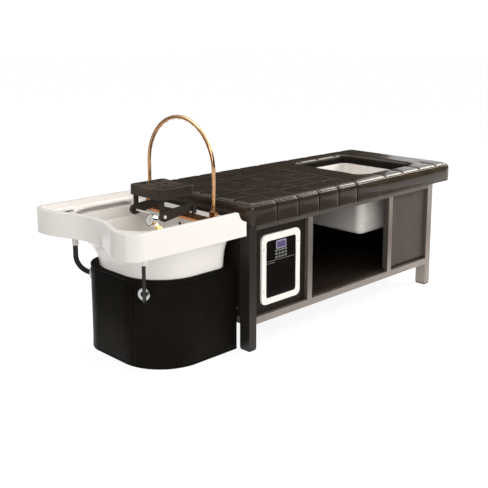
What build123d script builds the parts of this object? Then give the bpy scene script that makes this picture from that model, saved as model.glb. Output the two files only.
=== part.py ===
from build123d import *
import math
import os

# Hair washing bed: an upholstered couch on a steel frame with a foot tub let into it, and at its
# head end a white basin on a leather-covered drum, with a spray arch, a neck rest and a shower.
# Millimetres, +Z up, +X from the head end to the foot end, the controls on the -Y side.
# The origin lies on the floor, under the middle of the whole product.

# Driving dimensions of the steel frame
frame_length = 1304.0
frame_width = 640.0
frame_height = 525.0
leg_depth = 40.0
leg_width = 55.0
tube = 30.0
tube_wall = 1.5
top_rail_height = 20.0
rail_ground_clearance = 110.0
post_offset = 314.0
post_pitch = 582.0
panel_recess = 18.0
panel_thickness = 12.0
glide_height = 6.0
glide_margin = 2.0
glide_plug_height = 20.0
plug_clearance = 0.2

# Driving dimensions of the couch top
cushion_height = 90.5
cushion_side_overhang = 10.0
cushion_head_setback = 5.0
cushion_foot_overhang = 150.0
cushion_edge_radius = 30.0
cushion_corner_radius = 34.0
cushion_hem_radius = 6.0
board_thickness = 15.0
board_margin = 14.0
channel_first = 145.0
channel_well_margin = 178.0
channel_count = 5
channel_depth = 5.0
channel_radius = 9.0
row_pitch = 103.0
border_head_margin = 46.0
border_foot_margin = 120.0
border_channel_count = 4
well_foot_margin = 198.0
well_length = 400.0
well_width = 430.0
well_corner_radius = 42.0
well_edge_radius = 26.0

# Driving dimensions of the foot tub
tub_clearance = 1.0
tub_wall = 5.0
tub_floor_height = 313.0
tub_rim_rise = 47.0
tub_flange_width = 12.0
tub_flange_thickness = 5.0
tub_bottom_radius = 24.0
foot_drain_radius = 30.0
foot_drain_flange = 3.0
foot_drain_bore = 19.0
foot_drain_tail = 45.0
foot_plug_clearance = 0.3
foot_plug_depth = 14.0
foot_plug_head = 5.0
foot_plug_knob_radius = 6.0
foot_plug_knob_height = 12.0

# Driving dimensions of the control unit
bezel_foot_margin = 40.0
bezel_head_margin = 34.0
bezel_border = 27.0
bezel_offset = 39.0
bezel_lift = 33.0
bezel_radius = 26.0
bezel_thickness = 9.0
bezel_edge_radius = 3.0
glass_sink = 3.0
display_width = 56.0
display_height = 30.0
display_thickness = 1.5
display_drop = 10.0
key_columns = 4
key_rows = 3
key_width = 13.0
key_height = 8.0
key_gap = 6.0
key_thickness = 1.2
key_drop = 10.0
control_box_margin = 22.0
control_box_depth = 60.0
control_box_wall = 2.0
heater_length = 210.0
heater_width = 160.0
heater_height = 190.0
heater_radius = 18.0
heater_foot_height = 12.0
heater_foot_width = 24.0
pump_radius = 42.0
pump_length = 120.0
pump_foot_width = 60.0
pump_foot_height = 16.0
pump_pipe_radius = 11.0
pump_pipe_length = 34.0
inlet_width = 48.0
inlet_height = 27.0
inlet_depth = 22.0
inlet_wall = 2.5
inlet_flange = 6.0
inlet_flange_thickness = 3.0
inlet_lift = 60.0
inlet_pin_width = 4.0
inlet_pin_thickness = 2.0
inlet_pin_length = 16.0
inlet_pin_pitch = 13.0
inlet_offset = 70.0

# Driving dimensions of the drum under the basin
drum_length = 427.0
drum_side_setback = 79.5
drum_height = 355.0
drum_near_flat = 54.0
drum_far_flat = 124.0
drum_foot_radius = 14.0
drum_leather = 4.0
drum_board = 12.0
drum_base_thickness = 15.0
joint_bolt_radius = 4.0
joint_bolt_head_radius = 7.0
joint_bolt_head = 5.0
joint_bolt_pitch = 300.0
tank_margin = 34.0
tank_height = 190.0
tank_wall = 4.0
tank_neck_radius = 40.0
tank_neck_height = 16.0
lid_thickness = 12.0
lid_clearance = 1.0

# Driving dimensions of the basin
basin_reach = 583.0
basin_waist_reach = 525.0
basin_bed_gap = 25.0
basin_width = 667.0
basin_lobe_width = 72.0
basin_waist_width = 20.0
basin_corner_radius = 50.0
basin_bed_corner_radius = 10.0
basin_rise = 241.0
basin_skirt = 99.0
basin_wall = 8.0
basin_lip = 18.0
basin_deck_drop = 24.0
basin_bed_deck_drop = 43.0
basin_bed_deck_depth = 90.0
basin_scoop_length = 47.0
basin_lip_edge_radius = 4.0
cavity_side_margin = 60.0
cavity_bed_radius = 60.0
bowl_inset = 9.0
bowl_bed_setback = 42.0
bowl_shoulder = 14.0
bowl_bottom_height = 318.0
bowl_bottom_shrink = 46.0
bowl_flare_shares = ((0.0, 0.0), (0.34, 0.1), (0.68, 0.36), (1.0, 1.0))
basin_drain_radius = 38.0
basin_drain_flange = 3.0
basin_drain_bore = 26.0
basin_drain_tail = 40.0
strainer_clearance = 0.3
strainer_thickness = 3.0
strainer_depth = 16.0
strainer_wall = 1.5
strainer_hole_radius = 2.5
strainer_ring_radius = 14.0
strainer_hole_count = 8
strainer_knob_radius = 5.0
strainer_knob_height = 9.0
waste_pipe_radius = 29.0
waste_pipe_wall = 2.5
deck_cap_radius = 29.0
deck_cap_height = 4.0
deck_cap_setback = 103.0
deck_cap_margin = 90.5

# Driving dimensions of the hoses at the drum
fitting_radius = 15.0
fitting_height = 26.0
fitting_bore_clearance = 0.2
fitting_pipe_radius = 9.0
near_fitting_setback = 83.0
near_fitting_margin = 48.5
near_fitting_drop = 30.0
far_fitting_setback = 155.0
far_fitting_margin = 63.5
far_fitting_drop = 77.0
near_hose_radius = 7.0
far_hose_radius = 10.5
hose_wall = 2.5
grommet_outer_radius = 24.5
grommet_thickness = 5.0
grommet_bore = 13.5
grommet_drop = 52.0
hose_turn = 30.0
hose_arc_share = 0.45
hose_fall_share = 0.46
hose_level_share = 0.6
near_grommet_angle = 210.0
far_grommet_angle = 133.0
hose_entry = 40.0
hose_bend_run = 52.0
grommet_sleeve_radius = 16.0

# Driving dimensions of the spray arch and its bar
arch_x = 86.0
arch_radius = 205.0
arch_straight = 167.0
arch_tube_radius = 8.0
arch_tube_wall = 1.5
arch_collar_radius = 13.0
arch_collar_height = 18.0
arch_pivot_radius = 4.0
arch_pivot_rise = 20.0
arch_barrel_radius = 11.0
arch_barrel_length = 20.0
arch_ear_thickness = 5.0
arch_ear_clearance = 0.4
pivot_clearance = 0.05
arch_base_thickness = 5.0
arch_nozzle_count = 11
arch_nozzle_radius = 2.0
arch_nozzle_length = 5.0
arch_nozzle_spread = 120.0
bar_near_edge = 107.0
bar_depth = 62.0
bar_half_width = 212.0
bar_thickness = 10.0

# Driving dimensions of the neck rest
pad_head_x = 273.0
pad_bed_x = 94.0
pad_width = 204.0
pad_rise = 127.0
pad_thickness = 14.0
pad_skirt = 42.0
pad_skirt_wall = 8.0
pad_corner_radius = 18.0
pad_edge_radius = 7.0
pad_dip_radius = 420.0
pad_hole_rows = 3
pad_hole_columns = 4
pad_hole_length = 26.0
pad_hole_width = 12.0
pad_hole_pitch_x = 40.0
pad_hole_pitch_y = 44.0
arm_spacing = 190.0
arm_thickness = 14.0
arm_pivot_x = 104.0
arm_pivot_rise = 37.0
arm_head_x = 252.0
arm_head_rise = 18.0
arm_head_radius = 20.0
arm_bed_radius = 15.0
neck_pin_radius = 4.0
neck_pin_head_radius = 7.0
neck_pin_head = 3.0
strut_width = 20.0
strut_thickness = 8.0
strut_clearance = 0.5
bracket_thickness = 8.0
bracket_depth = 18.0

# Driving dimensions of the shower
shower_setback = 161.0
shower_margin = 41.5
shower_lean = 40.0
shower_turn = 20.0
shower_nod = 25.0
guide_radius = 14.0
guide_height = 20.0
guide_flange_radius = 19.0
guide_flange_height = 4.0
stem_radius = 9.0
stem_clearance = 0.08
stem_length = 66.0
shower_head_radius = 22.0
shower_head_length = 26.0
shower_neck_length = 12.0
shower_face_radius = 19.0
shower_face_thickness = 3.0

# Shared small sizes
overrun = 5.0
near = 0.5

# Places worked out from the driving dimensions
frame_head = (basin_reach - frame_length - cushion_foot_overhang) / 2
frame_foot = frame_head + frame_length
half_width = frame_width / 2
inner_head = frame_head + leg_depth
inner_foot = frame_foot - leg_depth
rail_bottom = rail_ground_clearance
rail_top = rail_bottom + tube
top_rail_bottom = frame_height - top_rail_height
post_one = inner_head + post_offset
post_two = post_one + post_pitch
leg_inner_y = half_width - leg_width
tube_inner_y = half_width - tube
panel_face = half_width - panel_recess
board_top = frame_height + board_thickness
cushion_top = frame_height + cushion_height
cushion_head = frame_head + cushion_head_setback
cushion_foot = frame_foot + cushion_foot_overhang
cushion_half = half_width + cushion_side_overhang
well_foot = cushion_foot - well_foot_margin
well_head = well_foot - well_length
channel_last = well_head - channel_well_margin
channel_pitch = (channel_last - cushion_head - channel_first) / (channel_count - 1)
border_first = well_head + border_head_margin
border_pitch = (cushion_foot - border_foot_margin - border_first) / (border_channel_count - 1)
tub_rim_height = frame_height + tub_rim_rise
drum_head = frame_head - drum_length
drum_width = basin_width - 2 * drum_side_setback
drum_head_radius = drum_width / 2 - drum_near_flat
drum_far_head_radius = drum_width / 2 - drum_far_flat
basin_rim_height = drum_height + basin_rise
skirt_bottom = basin_rim_height - basin_skirt
deck_height = basin_rim_height - basin_deck_drop
bed_deck_height = basin_rim_height - basin_bed_deck_drop
basin_bed = frame_head - basin_bed_gap
bed_deck_edge = basin_bed - basin_bed_deck_depth
waist_x = frame_head - basin_waist_reach
basin_half = basin_width / 2
lobe_x = frame_head - basin_reach
deck_cap_x = lobe_x + deck_cap_setback
deck_cap_y = basin_half - deck_cap_margin
shower_x = lobe_x + shower_setback
shower_y = basin_half - shower_margin
grommet_height = drum_height - grommet_drop
pad_top_height = bed_deck_height + pad_rise
bowl_middle_x = (drum_head + frame_head - bowl_bed_setback) / 2
shelf_height = rail_top


def block(x_start, x_end, y_start, y_end, z_start, z_end):
    """A box between two opposite corners."""
    size = (x_end - x_start, y_end - y_start, z_end - z_start)
    centre = ((x_start + x_end) / 2, (y_start + y_end) / 2, (z_start + z_end) / 2)
    return Pos(*centre) * Box(*size)


def upright(radius, x, y, z_start, z_end):
    """A vertical cylinder."""
    return Pos(x, y, (z_start + z_end) / 2) * Cylinder(radius, z_end - z_start)


def crosswise(radius, x, z, y_start, y_end):
    """A cylinder along Y."""
    return Pos(x, (y_start + y_end) / 2, z) * Rot(90, 0, 0) * Cylinder(radius, y_end - y_start)


def rounded_plan(x_start, x_end, half, near_radius, far_radius, bed_radius, z):
    """A flat plan with its own corner radii at the head end's two corners and at the bed end."""
    corners = ((x_start, -half, near_radius, 180), (x_end, -half, bed_radius, 270),
               (x_end, half, bed_radius, 0), (x_start, half, far_radius, 90))
    edges, ends = [], []
    for x, y, radius, start_angle in corners:
        middle = (x + math.copysign(radius, -1 if x == x_end else 1), y - math.copysign(radius, y))
        arc = CenterArc(middle, radius, start_angle, 90)
        edges.append(arc)
        ends.append((arc @ 0, arc @ 1))
    for index in range(len(corners)):
        edges.append(Line(ends[index][1], ends[(index + 1) % len(corners)][0]))
    return Pos(0, 0, z) * make_face(edges)


def slab(plan, height):
    """A plan drawn up by a height."""
    return extrude(plan, amount=height, dir=(0, 0, 1))


def write(name, shapes):
    """Write one node as a file of one or more separate solids."""
    solids = shapes if isinstance(shapes, list) else [shapes]
    whole = Compound(children=[part for shape in solids for part in shape.solids()])
    whole.label = name
    export_step(whole, os.path.join("parts", name + ".step"))


# Steel frame

def leg(x_start, side):
    """One leg: a closed rectangular tube that stands on its glide."""
    y_start, y_end = sorted((side * leg_inner_y, side * half_width))
    outer = block(x_start, x_start + leg_depth, y_start, y_end, glide_height, frame_height)
    bore = block(x_start + tube_wall, x_start + leg_depth - tube_wall, y_start + tube_wall,
                 y_end - tube_wall, glide_height - overrun, frame_height - tube_wall)
    return outer - bore


def glide(x_start, side):
    """A plastic foot with a plug up the leg's tube."""
    y_start, y_end = sorted((side * leg_inner_y, side * half_width))
    gap = tube_wall + plug_clearance
    foot = block(x_start + glide_margin, x_start + leg_depth - glide_margin, y_start + glide_margin,
                 y_end - glide_margin, 0, glide_height)
    plug = block(x_start + gap, x_start + leg_depth - gap, y_start + gap, y_end - gap,
                 glide_height, glide_height + glide_plug_height)
    return foot + plug


def rail_along(side, z_start, height):
    """A rectangular tube between the legs on one side."""
    y_start, y_end = sorted((side * tube_inner_y, side * half_width))
    outer = block(inner_head, inner_foot, y_start, y_end, z_start, z_start + height)
    bore = block(inner_head, inner_foot, y_start + tube_wall, y_end - tube_wall,
                 z_start + tube_wall, z_start + height - tube_wall)
    return outer - bore


def rail_across(x_start, z_start, height):
    """A rectangular tube across the frame between two legs."""
    outer = block(x_start, x_start + tube, -leg_inner_y, leg_inner_y, z_start, z_start + height)
    bore = block(x_start + tube_wall, x_start + tube - tube_wall, -leg_inner_y, leg_inner_y,
                 z_start + tube_wall, z_start + height - tube_wall)
    return outer - bore


def post(x_start, side):
    """A square tube between the bottom and the top rail."""
    y_start, y_end = sorted((side * tube_inner_y, side * half_width))
    outer = block(x_start, x_start + tube, y_start, y_end, rail_top, top_rail_bottom)
    bore = block(x_start + tube_wall, x_start + tube - tube_wall, y_start + tube_wall,
                 y_end - tube_wall, rail_top, top_rail_bottom)
    return outer - bore


def shelf():
    """The bottom board, notched round the posts and the legs."""
    board = block(frame_head + tube, frame_foot - tube, -panel_face, panel_face,
                  shelf_height, shelf_height + panel_thickness)
    notches = []
    for side in (-1, 1):
        y_start, y_end = sorted((side * (tube_inner_y - plug_clearance), side * half_width))
        for x_start in (post_one, post_two):
            notches.append(block(x_start - plug_clearance, x_start + tube + plug_clearance,
                                 y_start, y_end, shelf_height - overrun,
                                 shelf_height + panel_thickness + overrun))
        y_start, y_end = sorted((side * (leg_inner_y - plug_clearance), side * half_width))
        for x_start, x_end in ((frame_head, inner_head + plug_clearance),
                               (inner_foot - plug_clearance, frame_foot)):
            notches.append(block(x_start, x_end, y_start, y_end, shelf_height - overrun,
                                 shelf_height + panel_thickness + overrun))
    return board - notches


def side_panel(x_start, x_end, side):
    """An upright board between two uprights, set back from the frame's face."""
    y_start, y_end = sorted((side * (panel_face - panel_thickness), side * panel_face))
    return block(x_start, x_end, y_start, y_end, shelf_height + panel_thickness, top_rail_bottom)


def end_panel(x_start):
    """The board between two legs at one end of the frame."""
    return block(x_start, x_start + panel_thickness, -leg_inner_y, leg_inner_y, rail_top,
                 top_rail_bottom)


def partition():
    """The board between the machine space and the storage bay."""
    reach = tube_inner_y - panel_thickness
    return block(post_one, post_one + panel_thickness, -reach, reach, shelf_height + panel_thickness,
                 top_rail_bottom)


# Couch top

def couch_plan(inset, z):
    """The couch's outline from above, smaller all round by an inset."""
    radius = cushion_corner_radius - inset
    return rounded_plan(cushion_head + inset, cushion_foot - inset, cushion_half - inset, radius, radius,
                        radius, z)


def well_plan(grow, z):
    """The outline of the opening over the foot tub, larger all round by an amount."""
    radius = well_corner_radius + grow
    return rounded_plan(well_head - grow, well_foot + grow, well_width / 2 + grow, radius, radius, radius, z)


def cushion_board():
    """The plywood board under the foam, open over the foot tub."""
    board = slab(couch_plan(board_margin, frame_height), board_thickness)
    return board - slab(well_plan(0, frame_height - overrun), board_thickness + 2 * overrun)


def groove(start, end, z):
    """A straight channel cut, round in section."""
    run = Vector(*end) - Vector(*start)
    plane = Plane(origin=start, z_dir=run)
    lift = channel_radius - channel_depth
    return Pos(0, 0, z + lift) * (plane * Pos(0, 0, run.length / 2) * Cylinder(channel_radius, run.length))


def cushion():
    """The upholstered top: rounded edges, sewn channels and the opening over the foot tub."""
    body = slab(couch_plan(0, frame_height), cushion_height)
    body = fillet(body.edges().group_by(Axis.Z)[-1], cushion_edge_radius)
    bottom = body.edges().group_by(Axis.Z)[0]
    body = fillet(bottom, cushion_hem_radius)
    well = slab(well_plan(0, frame_height - overrun), cushion_height + 2 * overrun)
    body = body - well
    rim = [e for e in body.edges().group_by(Axis.Z)[-1]
           if well_head - overrun < e.center().X < well_foot + overrun
           and abs(e.center().Y) < well_width / 2 + overrun]
    body = fillet(rim, well_edge_radius)
    cuts = [slab(couch_plan(board_margin, frame_height - overrun), board_thickness + overrun)]
    pocket = tub_flange_width + 2 * tub_clearance
    cuts.append(slab(well_plan(pocket, frame_height), board_thickness + tub_flange_thickness + tub_clearance))
    for index in range(channel_count):
        x = cushion_head + channel_first + channel_pitch * index
        cuts.append(groove((x, -cushion_half, 0), (x, cushion_half, 0), cushion_top))
        side_lift = channel_radius - channel_depth
        cuts.append(upright(channel_radius, x, -cushion_half - side_lift, frame_height, cushion_top))
        cuts.append(upright(channel_radius, x, cushion_half + side_lift, frame_height, cushion_top))
    for index in range(-2, 3):
        y = row_pitch * index
        cuts.append(groove((cushion_head, y, 0), (channel_last, y, 0), cushion_top))
    for index in range(border_channel_count):
        x = border_first + border_pitch * index
        for side in (-1, 1):
            y_start, y_end = side * well_width / 2, side * cushion_half
            cuts.append(groove((x, min(y_start, y_end), 0), (x, max(y_start, y_end), 0), cushion_top))
    return body - cuts


# Foot tub

def tub():
    """The moulded foot tub, hung by a flange on the board under the cushion."""
    outer = slab(well_plan(-tub_clearance, tub_floor_height), tub_rim_height - tub_floor_height)
    outer = fillet(outer.edges().group_by(Axis.Z)[0], tub_bottom_radius)
    inner = slab(well_plan(-tub_clearance - tub_wall, tub_floor_height + tub_wall),
                 tub_rim_height - tub_floor_height)
    inner = fillet(inner.edges().group_by(Axis.Z)[0], tub_bottom_radius - tub_wall)
    flange = slab(well_plan(tub_flange_width, board_top), tub_flange_thickness)
    x, y = tub_drain_place()
    hole = upright(foot_drain_bore + tub_clearance, x, y, tub_floor_height - overrun,
                   tub_floor_height + tub_wall + overrun)
    return outer + flange - inner - hole


def tub_drain_place():
    """The drain's centre in the tub's floor."""
    return (well_head + well_foot) / 2, 0.0


def foot_drain():
    """The tub's waste: a flange on the floor, and a tail through it."""
    x, y = tub_drain_place()
    floor = tub_floor_height + tub_wall
    flange = upright(foot_drain_radius, x, y, floor, floor + foot_drain_flange)
    tail = upright(foot_drain_bore + tub_clearance / 2, x, y, floor - foot_drain_tail, floor)
    nut = upright(foot_drain_radius, x, y, tub_floor_height - foot_drain_flange, tub_floor_height)
    bore = upright(foot_drain_bore - tub_wall / 2, x, y, floor - foot_drain_tail - overrun,
                   floor + foot_drain_flange + overrun)
    return flange + tail + nut - bore


def foot_plug():
    """The plug that lifts out of the tub's waste."""
    x, y = tub_drain_place()
    seat = tub_floor_height + tub_wall + foot_drain_flange
    stem = upright(foot_drain_bore - tub_wall / 2 - foot_plug_clearance, x, y, seat - foot_plug_depth, seat)
    head = upright(foot_drain_bore + foot_plug_head, x, y, seat, seat + foot_plug_head)
    knob = upright(foot_plug_knob_radius, x, y, seat + foot_plug_head,
                   seat + foot_plug_head + foot_plug_knob_height)
    knob = fillet(knob.edges().group_by(Axis.Z)[-1], foot_plug_knob_radius / 2)
    return stem + head + knob


# Control unit

bezel_start = inner_head + bezel_offset
bezel_bottom = shelf_height + bezel_lift
bezel_width = post_offset - bezel_offset - bezel_foot_margin
bezel_height = top_rail_bottom - bezel_head_margin - bezel_bottom
bezel_face = -panel_face


def front_plate(width, height, radius, x_middle, z_middle, y_face, thickness):
    """A rounded plate that faces the front, its back on the plane y_face."""
    plan = Plane(origin=(x_middle, y_face, z_middle), x_dir=(1, 0, 0), z_dir=(0, -1, 0))
    return extrude(plan * RectangleRounded(width, height, radius), amount=thickness)


def bezel_middle():
    """The centre of the control unit's face."""
    return bezel_start + bezel_width / 2, bezel_bottom + bezel_height / 2


def bezel():
    """The white surround of the control unit."""
    x, z = bezel_middle()
    outer = front_plate(bezel_width, bezel_height, bezel_radius, x, z, bezel_face, bezel_thickness)
    outer = fillet(outer.edges().group_by(Axis.Y)[0], bezel_edge_radius)
    inner = front_plate(bezel_width - 2 * bezel_border, bezel_height - 2 * bezel_border,
                        bezel_radius - bezel_border / 2, x, z, bezel_face + overrun,
                        bezel_thickness + 2 * overrun)
    return outer - inner


def glass_front():
    """The plane of the glass's face."""
    return bezel_face - bezel_thickness + glass_sink


def control_glass():
    """The black glass inside the surround, on its backing."""
    x, z = bezel_middle()
    gap = 2 * bezel_border + 2 * plug_clearance
    return front_plate(bezel_width - gap, bezel_height - gap, bezel_radius - bezel_border / 2, x, z,
                       bezel_face, bezel_thickness - glass_sink)


def display_middle():
    """The centre of the display in the glass."""
    x, z = bezel_middle()
    return x, z + bezel_height / 2 - bezel_border - display_drop - display_height / 2


def control_display():
    """The small display window."""
    x, z = display_middle()
    return front_plate(display_width, display_height, display_thickness, x, z, glass_front(),
                       display_thickness)


def control_keys():
    """The touch keys in their grid under the display."""
    x, z = display_middle()
    first_x = x - (key_columns - 1) * (key_width + key_gap) / 2
    first_z = z - display_height / 2 - key_drop
    keys = []
    for column in range(key_columns):
        for row in range(key_rows):
            keys.append(front_plate(key_width, key_height, key_thickness,
                                    first_x + column * (key_width + key_gap),
                                    first_z - row * (key_height + key_gap), glass_front(),
                                    key_thickness))
    return keys


def control_box():
    """The open-backed housing of the electronics behind the panel."""
    x, z = bezel_middle()
    width, height = bezel_width - 2 * control_box_margin, bezel_height - 2 * control_box_margin
    back = panel_thickness - panel_face
    outer = block(x - width / 2, x + width / 2, back, back + control_box_depth,
                  z - height / 2, z + height / 2)
    wall = control_box_wall
    inner = block(x - width / 2 + wall, x + width / 2 - wall, back, back + control_box_depth - wall,
                  z - height / 2 + wall, z + height / 2 - wall)
    return outer - inner


def machine_middle():
    """The middle of the machine space, from above."""
    return (inner_head + post_one) / 2, tube_inner_y / 2


def heater():
    """The steam heater's tank on two feet."""
    x, y = machine_middle()
    base = shelf_height + panel_thickness + heater_foot_height
    body = block(x - heater_length / 2, x + heater_length / 2, y - heater_width / 2, y + heater_width / 2,
                 base, base + heater_height)
    body = fillet(body.edges().filter_by(Axis.X), heater_radius)
    for side in (-1, 1):
        foot_x = x + side * (heater_length / 2 - heater_foot_width)
        body += block(foot_x - heater_foot_width / 2, foot_x + heater_foot_width / 2,
                      y - heater_width / 2 + heater_radius, y + heater_width / 2 - heater_radius,
                      base - heater_foot_height, base)
    return body


def pump():
    """The circulation pump on its foot, beside the heater."""
    x, _ = machine_middle()
    base = shelf_height + panel_thickness
    axis_z = base + pump_foot_height + pump_radius
    y = machine_middle()[1] - heater_width / 2 - pump_radius - pump_pipe_length
    body = Pos(x, y, axis_z) * Rot(0, 90, 0) * Cylinder(pump_radius, pump_length)
    foot = block(x - pump_foot_width / 2, x + pump_foot_width / 2, y - pump_foot_width / 2,
                 y + pump_foot_width / 2, base, axis_z)
    pipe = crosswise(pump_pipe_radius, x, axis_z, y, y + pump_radius + pump_pipe_length)
    return body + foot + pipe


def power_inlet():
    """The mains inlet in the back panel: a flanged socket with three pins."""
    x, z = inlet_place()
    face = panel_face
    wide, high = inlet_width / 2, inlet_height / 2
    outer = block(x - wide, x + wide, face - inlet_depth, face, z - high, z + high)
    hollow = block(x - wide + inlet_wall, x + wide - inlet_wall, face - inlet_depth + inlet_wall,
                   face + overrun, z - high + inlet_wall, z + high - inlet_wall)
    flange = block(x - wide - inlet_flange, x + wide + inlet_flange, face, face + inlet_flange_thickness,
                   z - high - inlet_flange, z + high + inlet_flange)
    body = outer + flange - hollow
    floor = face - inlet_depth + inlet_wall
    for index in (-1, 0, 1):
        pin_x = x + index * inlet_pin_pitch
        body += block(pin_x - inlet_pin_thickness / 2, pin_x + inlet_pin_thickness / 2, floor,
                      floor + inlet_pin_length, z - inlet_pin_width / 2, z + inlet_pin_width / 2)
    return body


def inlet_place():
    """The inlet's middle on the back panel."""
    return inner_head + inlet_offset, shelf_height + panel_thickness + inlet_lift


def back_panels():
    """The three boards on the far side, the first with the inlet's cut-out."""
    spans = ((inner_head, post_one), (post_one + tube, post_two), (post_two + tube, inner_foot))
    boards = [side_panel(x_start, x_end, 1) for x_start, x_end in spans]
    x, z = inlet_place()
    wide, high = inlet_width / 2 + plug_clearance, inlet_height / 2 + plug_clearance
    boards[0] = boards[0] - block(x - wide, x + wide, panel_face - panel_thickness - overrun,
                                  panel_face + overrun, z - high, z + high)
    return boards


# Drum

def drum_plan(inset, z):
    """The drum's outline from above, smaller all round by an inset."""
    foot_radius = max(drum_foot_radius - inset, drum_foot_radius / 4)
    return rounded_plan(drum_head + inset, frame_head - inset, drum_width / 2 - inset,
                        drum_head_radius - inset, drum_far_head_radius - inset, foot_radius, z)


def drum_leather_skin():
    """The leather sleeve round the drum's boards."""
    return slab(drum_plan(0, 0), drum_height) - slab(drum_plan(drum_leather, -overrun),
                                                     drum_height + 2 * overrun)


def drum_shell():
    """The bent board of the drum, with its bottom."""
    outer = slab(drum_plan(drum_leather, 0), drum_height)
    return outer - slab(drum_plan(drum_leather + drum_board, drum_base_thickness), drum_height)


def tank_plan(inset, z):
    """The water tank's outline from above."""
    radius = drum_head_radius - tank_margin - inset
    return rounded_plan(drum_head + tank_margin + inset, frame_head - tank_margin - inset,
                        drum_width / 2 - tank_margin - inset, radius, radius, drum_foot_radius - inset, z)


def water_tank():
    """The closed water tank in the drum's bottom."""
    outer = slab(tank_plan(0, drum_base_thickness), tank_height)
    inner = slab(tank_plan(tank_wall, drum_base_thickness + tank_wall), tank_height - 2 * tank_wall)
    x, y = drain_place()
    top = drum_base_thickness + tank_height
    neck = upright(tank_neck_radius, x, y, top, top + tank_neck_height)
    bore = upright(waste_pipe_radius - waste_pipe_wall, x, y, top - 2 * tank_wall,
                   top + tank_neck_height + overrun)
    return outer + neck - inner - bore


def drum_lid():
    """The board in the drum's top that the basin stands on."""
    depth = drum_leather + drum_board
    lid = slab(drum_plan(depth, drum_height - lid_thickness), lid_thickness)
    opening = bowl_section(0, bowl_shoulder - lid_clearance, drum_height - lid_thickness - overrun)
    return lid - slab(opening, lid_thickness + 2 * overrun)


def joint_shank(side, radius, start, end):
    """A round along X on one of the two bolt axes."""
    return Pos((start + end) / 2, side * joint_bolt_pitch / 2, rail_bottom + tube / 2) * Rot(
        0, 90, 0) * Cylinder(radius, end - start)


def joint_holes():
    """The holes that the two bolts pass through."""
    inside = frame_head - drum_leather - drum_board - overrun
    return [joint_shank(side, joint_bolt_radius + plug_clearance, inside, frame_head + tube + overrun)
            for side in (-1, 1)]


def joint_bolts():
    """The bolts and nuts that hold the drum to the frame's lower cross rail."""
    inside = frame_head - drum_leather - drum_board
    outside = frame_head + tube
    pieces = []
    for side in (-1, 1):
        bolt = joint_shank(side, joint_bolt_head_radius, inside - joint_bolt_head, inside)
        pieces.append(bolt + joint_shank(side, joint_bolt_radius, inside, outside + 2 * joint_bolt_head))
        nut = joint_shank(side, joint_bolt_head_radius, outside, outside + joint_bolt_head)
        pieces.append(nut - joint_shank(side, joint_bolt_radius + pivot_clearance, inside,
                                        outside + 2 * joint_bolt_head))
    return pieces


# Basin

def basin_half_outline(inset, z):
    """Half of the rim's plan, with half of the waist at the head end."""
    half = basin_width / 2 - inset
    bed = basin_bed - inset
    lobe = frame_head - basin_reach + inset
    waist = waist_x + inset
    waist_end = basin_waist_width / 2 + inset / 2
    lobe_start = basin_width / 2 - basin_lobe_width + inset / 2
    flank = Spline((waist, waist_end, z), (lobe, lobe_start, z), tangents=((0, 1, 0), (0, 1, 0)))
    start = Line((waist, 0, z), (waist, waist_end, z))
    rest = Polyline((lobe, lobe_start, z), (lobe, half, z), (bed, half, z), (bed, 0, z), (waist, 0, z))
    return make_face([start, flank] + rest.edges())


def rim_slab(inset, z_start, z_end):
    """The rim's plan drawn up, its corners rounded."""
    half = slab(basin_half_outline(inset, z_start), z_end - z_start)
    edge_y = basin_width / 2 - inset
    lobe = frame_head - basin_reach + inset
    bed = basin_bed - inset
    bed_radius = basin_bed_corner_radius * basin_wall / (basin_wall + inset)
    for x, radius in ((lobe, basin_corner_radius - inset), (bed, bed_radius)):
        corner = [e for e in half.edges().filter_by(Axis.Z)
                  if abs(e.center().X - x) < near and abs(e.center().Y - edge_y) < near]
        half = fillet(corner, radius)
    return half + mirror(half, Plane.XZ)


def bowl_section(share, inset, z):
    """The bowl's plan at one height: its share is 0 on the drum and 1 at the rim."""
    low_head, low_half = drum_head + bowl_inset, drum_width / 2 - bowl_inset
    high_half = basin_width / 2 - cavity_side_margin + basin_lip
    head = low_head + (waist_x - low_head) * share + inset
    half = low_half + (high_half - low_half) * share - inset
    radius = drum_head_radius - bowl_inset - inset
    bed_radius = cavity_bed_radius * radius / drum_head_radius
    return rounded_plan(head, frame_head - bowl_bed_setback - inset, half, radius, radius, bed_radius, z)


def bowl_body(walled):
    """The bowl from the drum's top to the rim's lower edge, solid or as its hollow."""
    sections = []
    for rise_share, reach_share in bowl_flare_shares:
        inset = walled * (basin_wall + (basin_lip - basin_wall) * reach_share)
        height = drum_height + (skirt_bottom - drum_height) * rise_share
        sections.append(bowl_section(reach_share, inset, height))
    return loft(sections)


def bowl_bottom(walled):
    """The bowl's lower part, inside the drum, solid or as its hollow."""
    inset = bowl_shoulder * (1 - walled) + walled * (bowl_shoulder + basin_wall)
    low = bowl_section(0, inset + bowl_bottom_shrink, bowl_bottom_height + walled * basin_wall)
    return loft([low, bowl_section(0, inset, drum_height)])


def drain_place():
    """The drain's centre in the basin's floor."""
    return bowl_middle_x, 0.0


def scoop(side):
    """The dip at the bed end of one side of the rim."""
    reach = basin_lip + 2 * overrun
    y_start, y_end = sorted((side * (basin_width / 2 - reach + overrun), side * (basin_width / 2 + overrun)))
    start, end = basin_bed - basin_scoop_length, basin_bed + overrun
    above = basin_rim_height + overrun
    curve = Spline((start, y_start, basin_rim_height), (end, y_start, bed_deck_height),
                   tangents=((basin_scoop_length / 4, 0, -basin_bed_deck_drop), (1, 0, 0)))
    sides = Polyline((end, y_start, bed_deck_height), (end, y_start, above), (start, y_start, above),
                     (start, y_start, basin_rim_height))
    return extrude(make_face([curve] + sides.edges()), amount=y_end - y_start, dir=(0, 1, 0))


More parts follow.
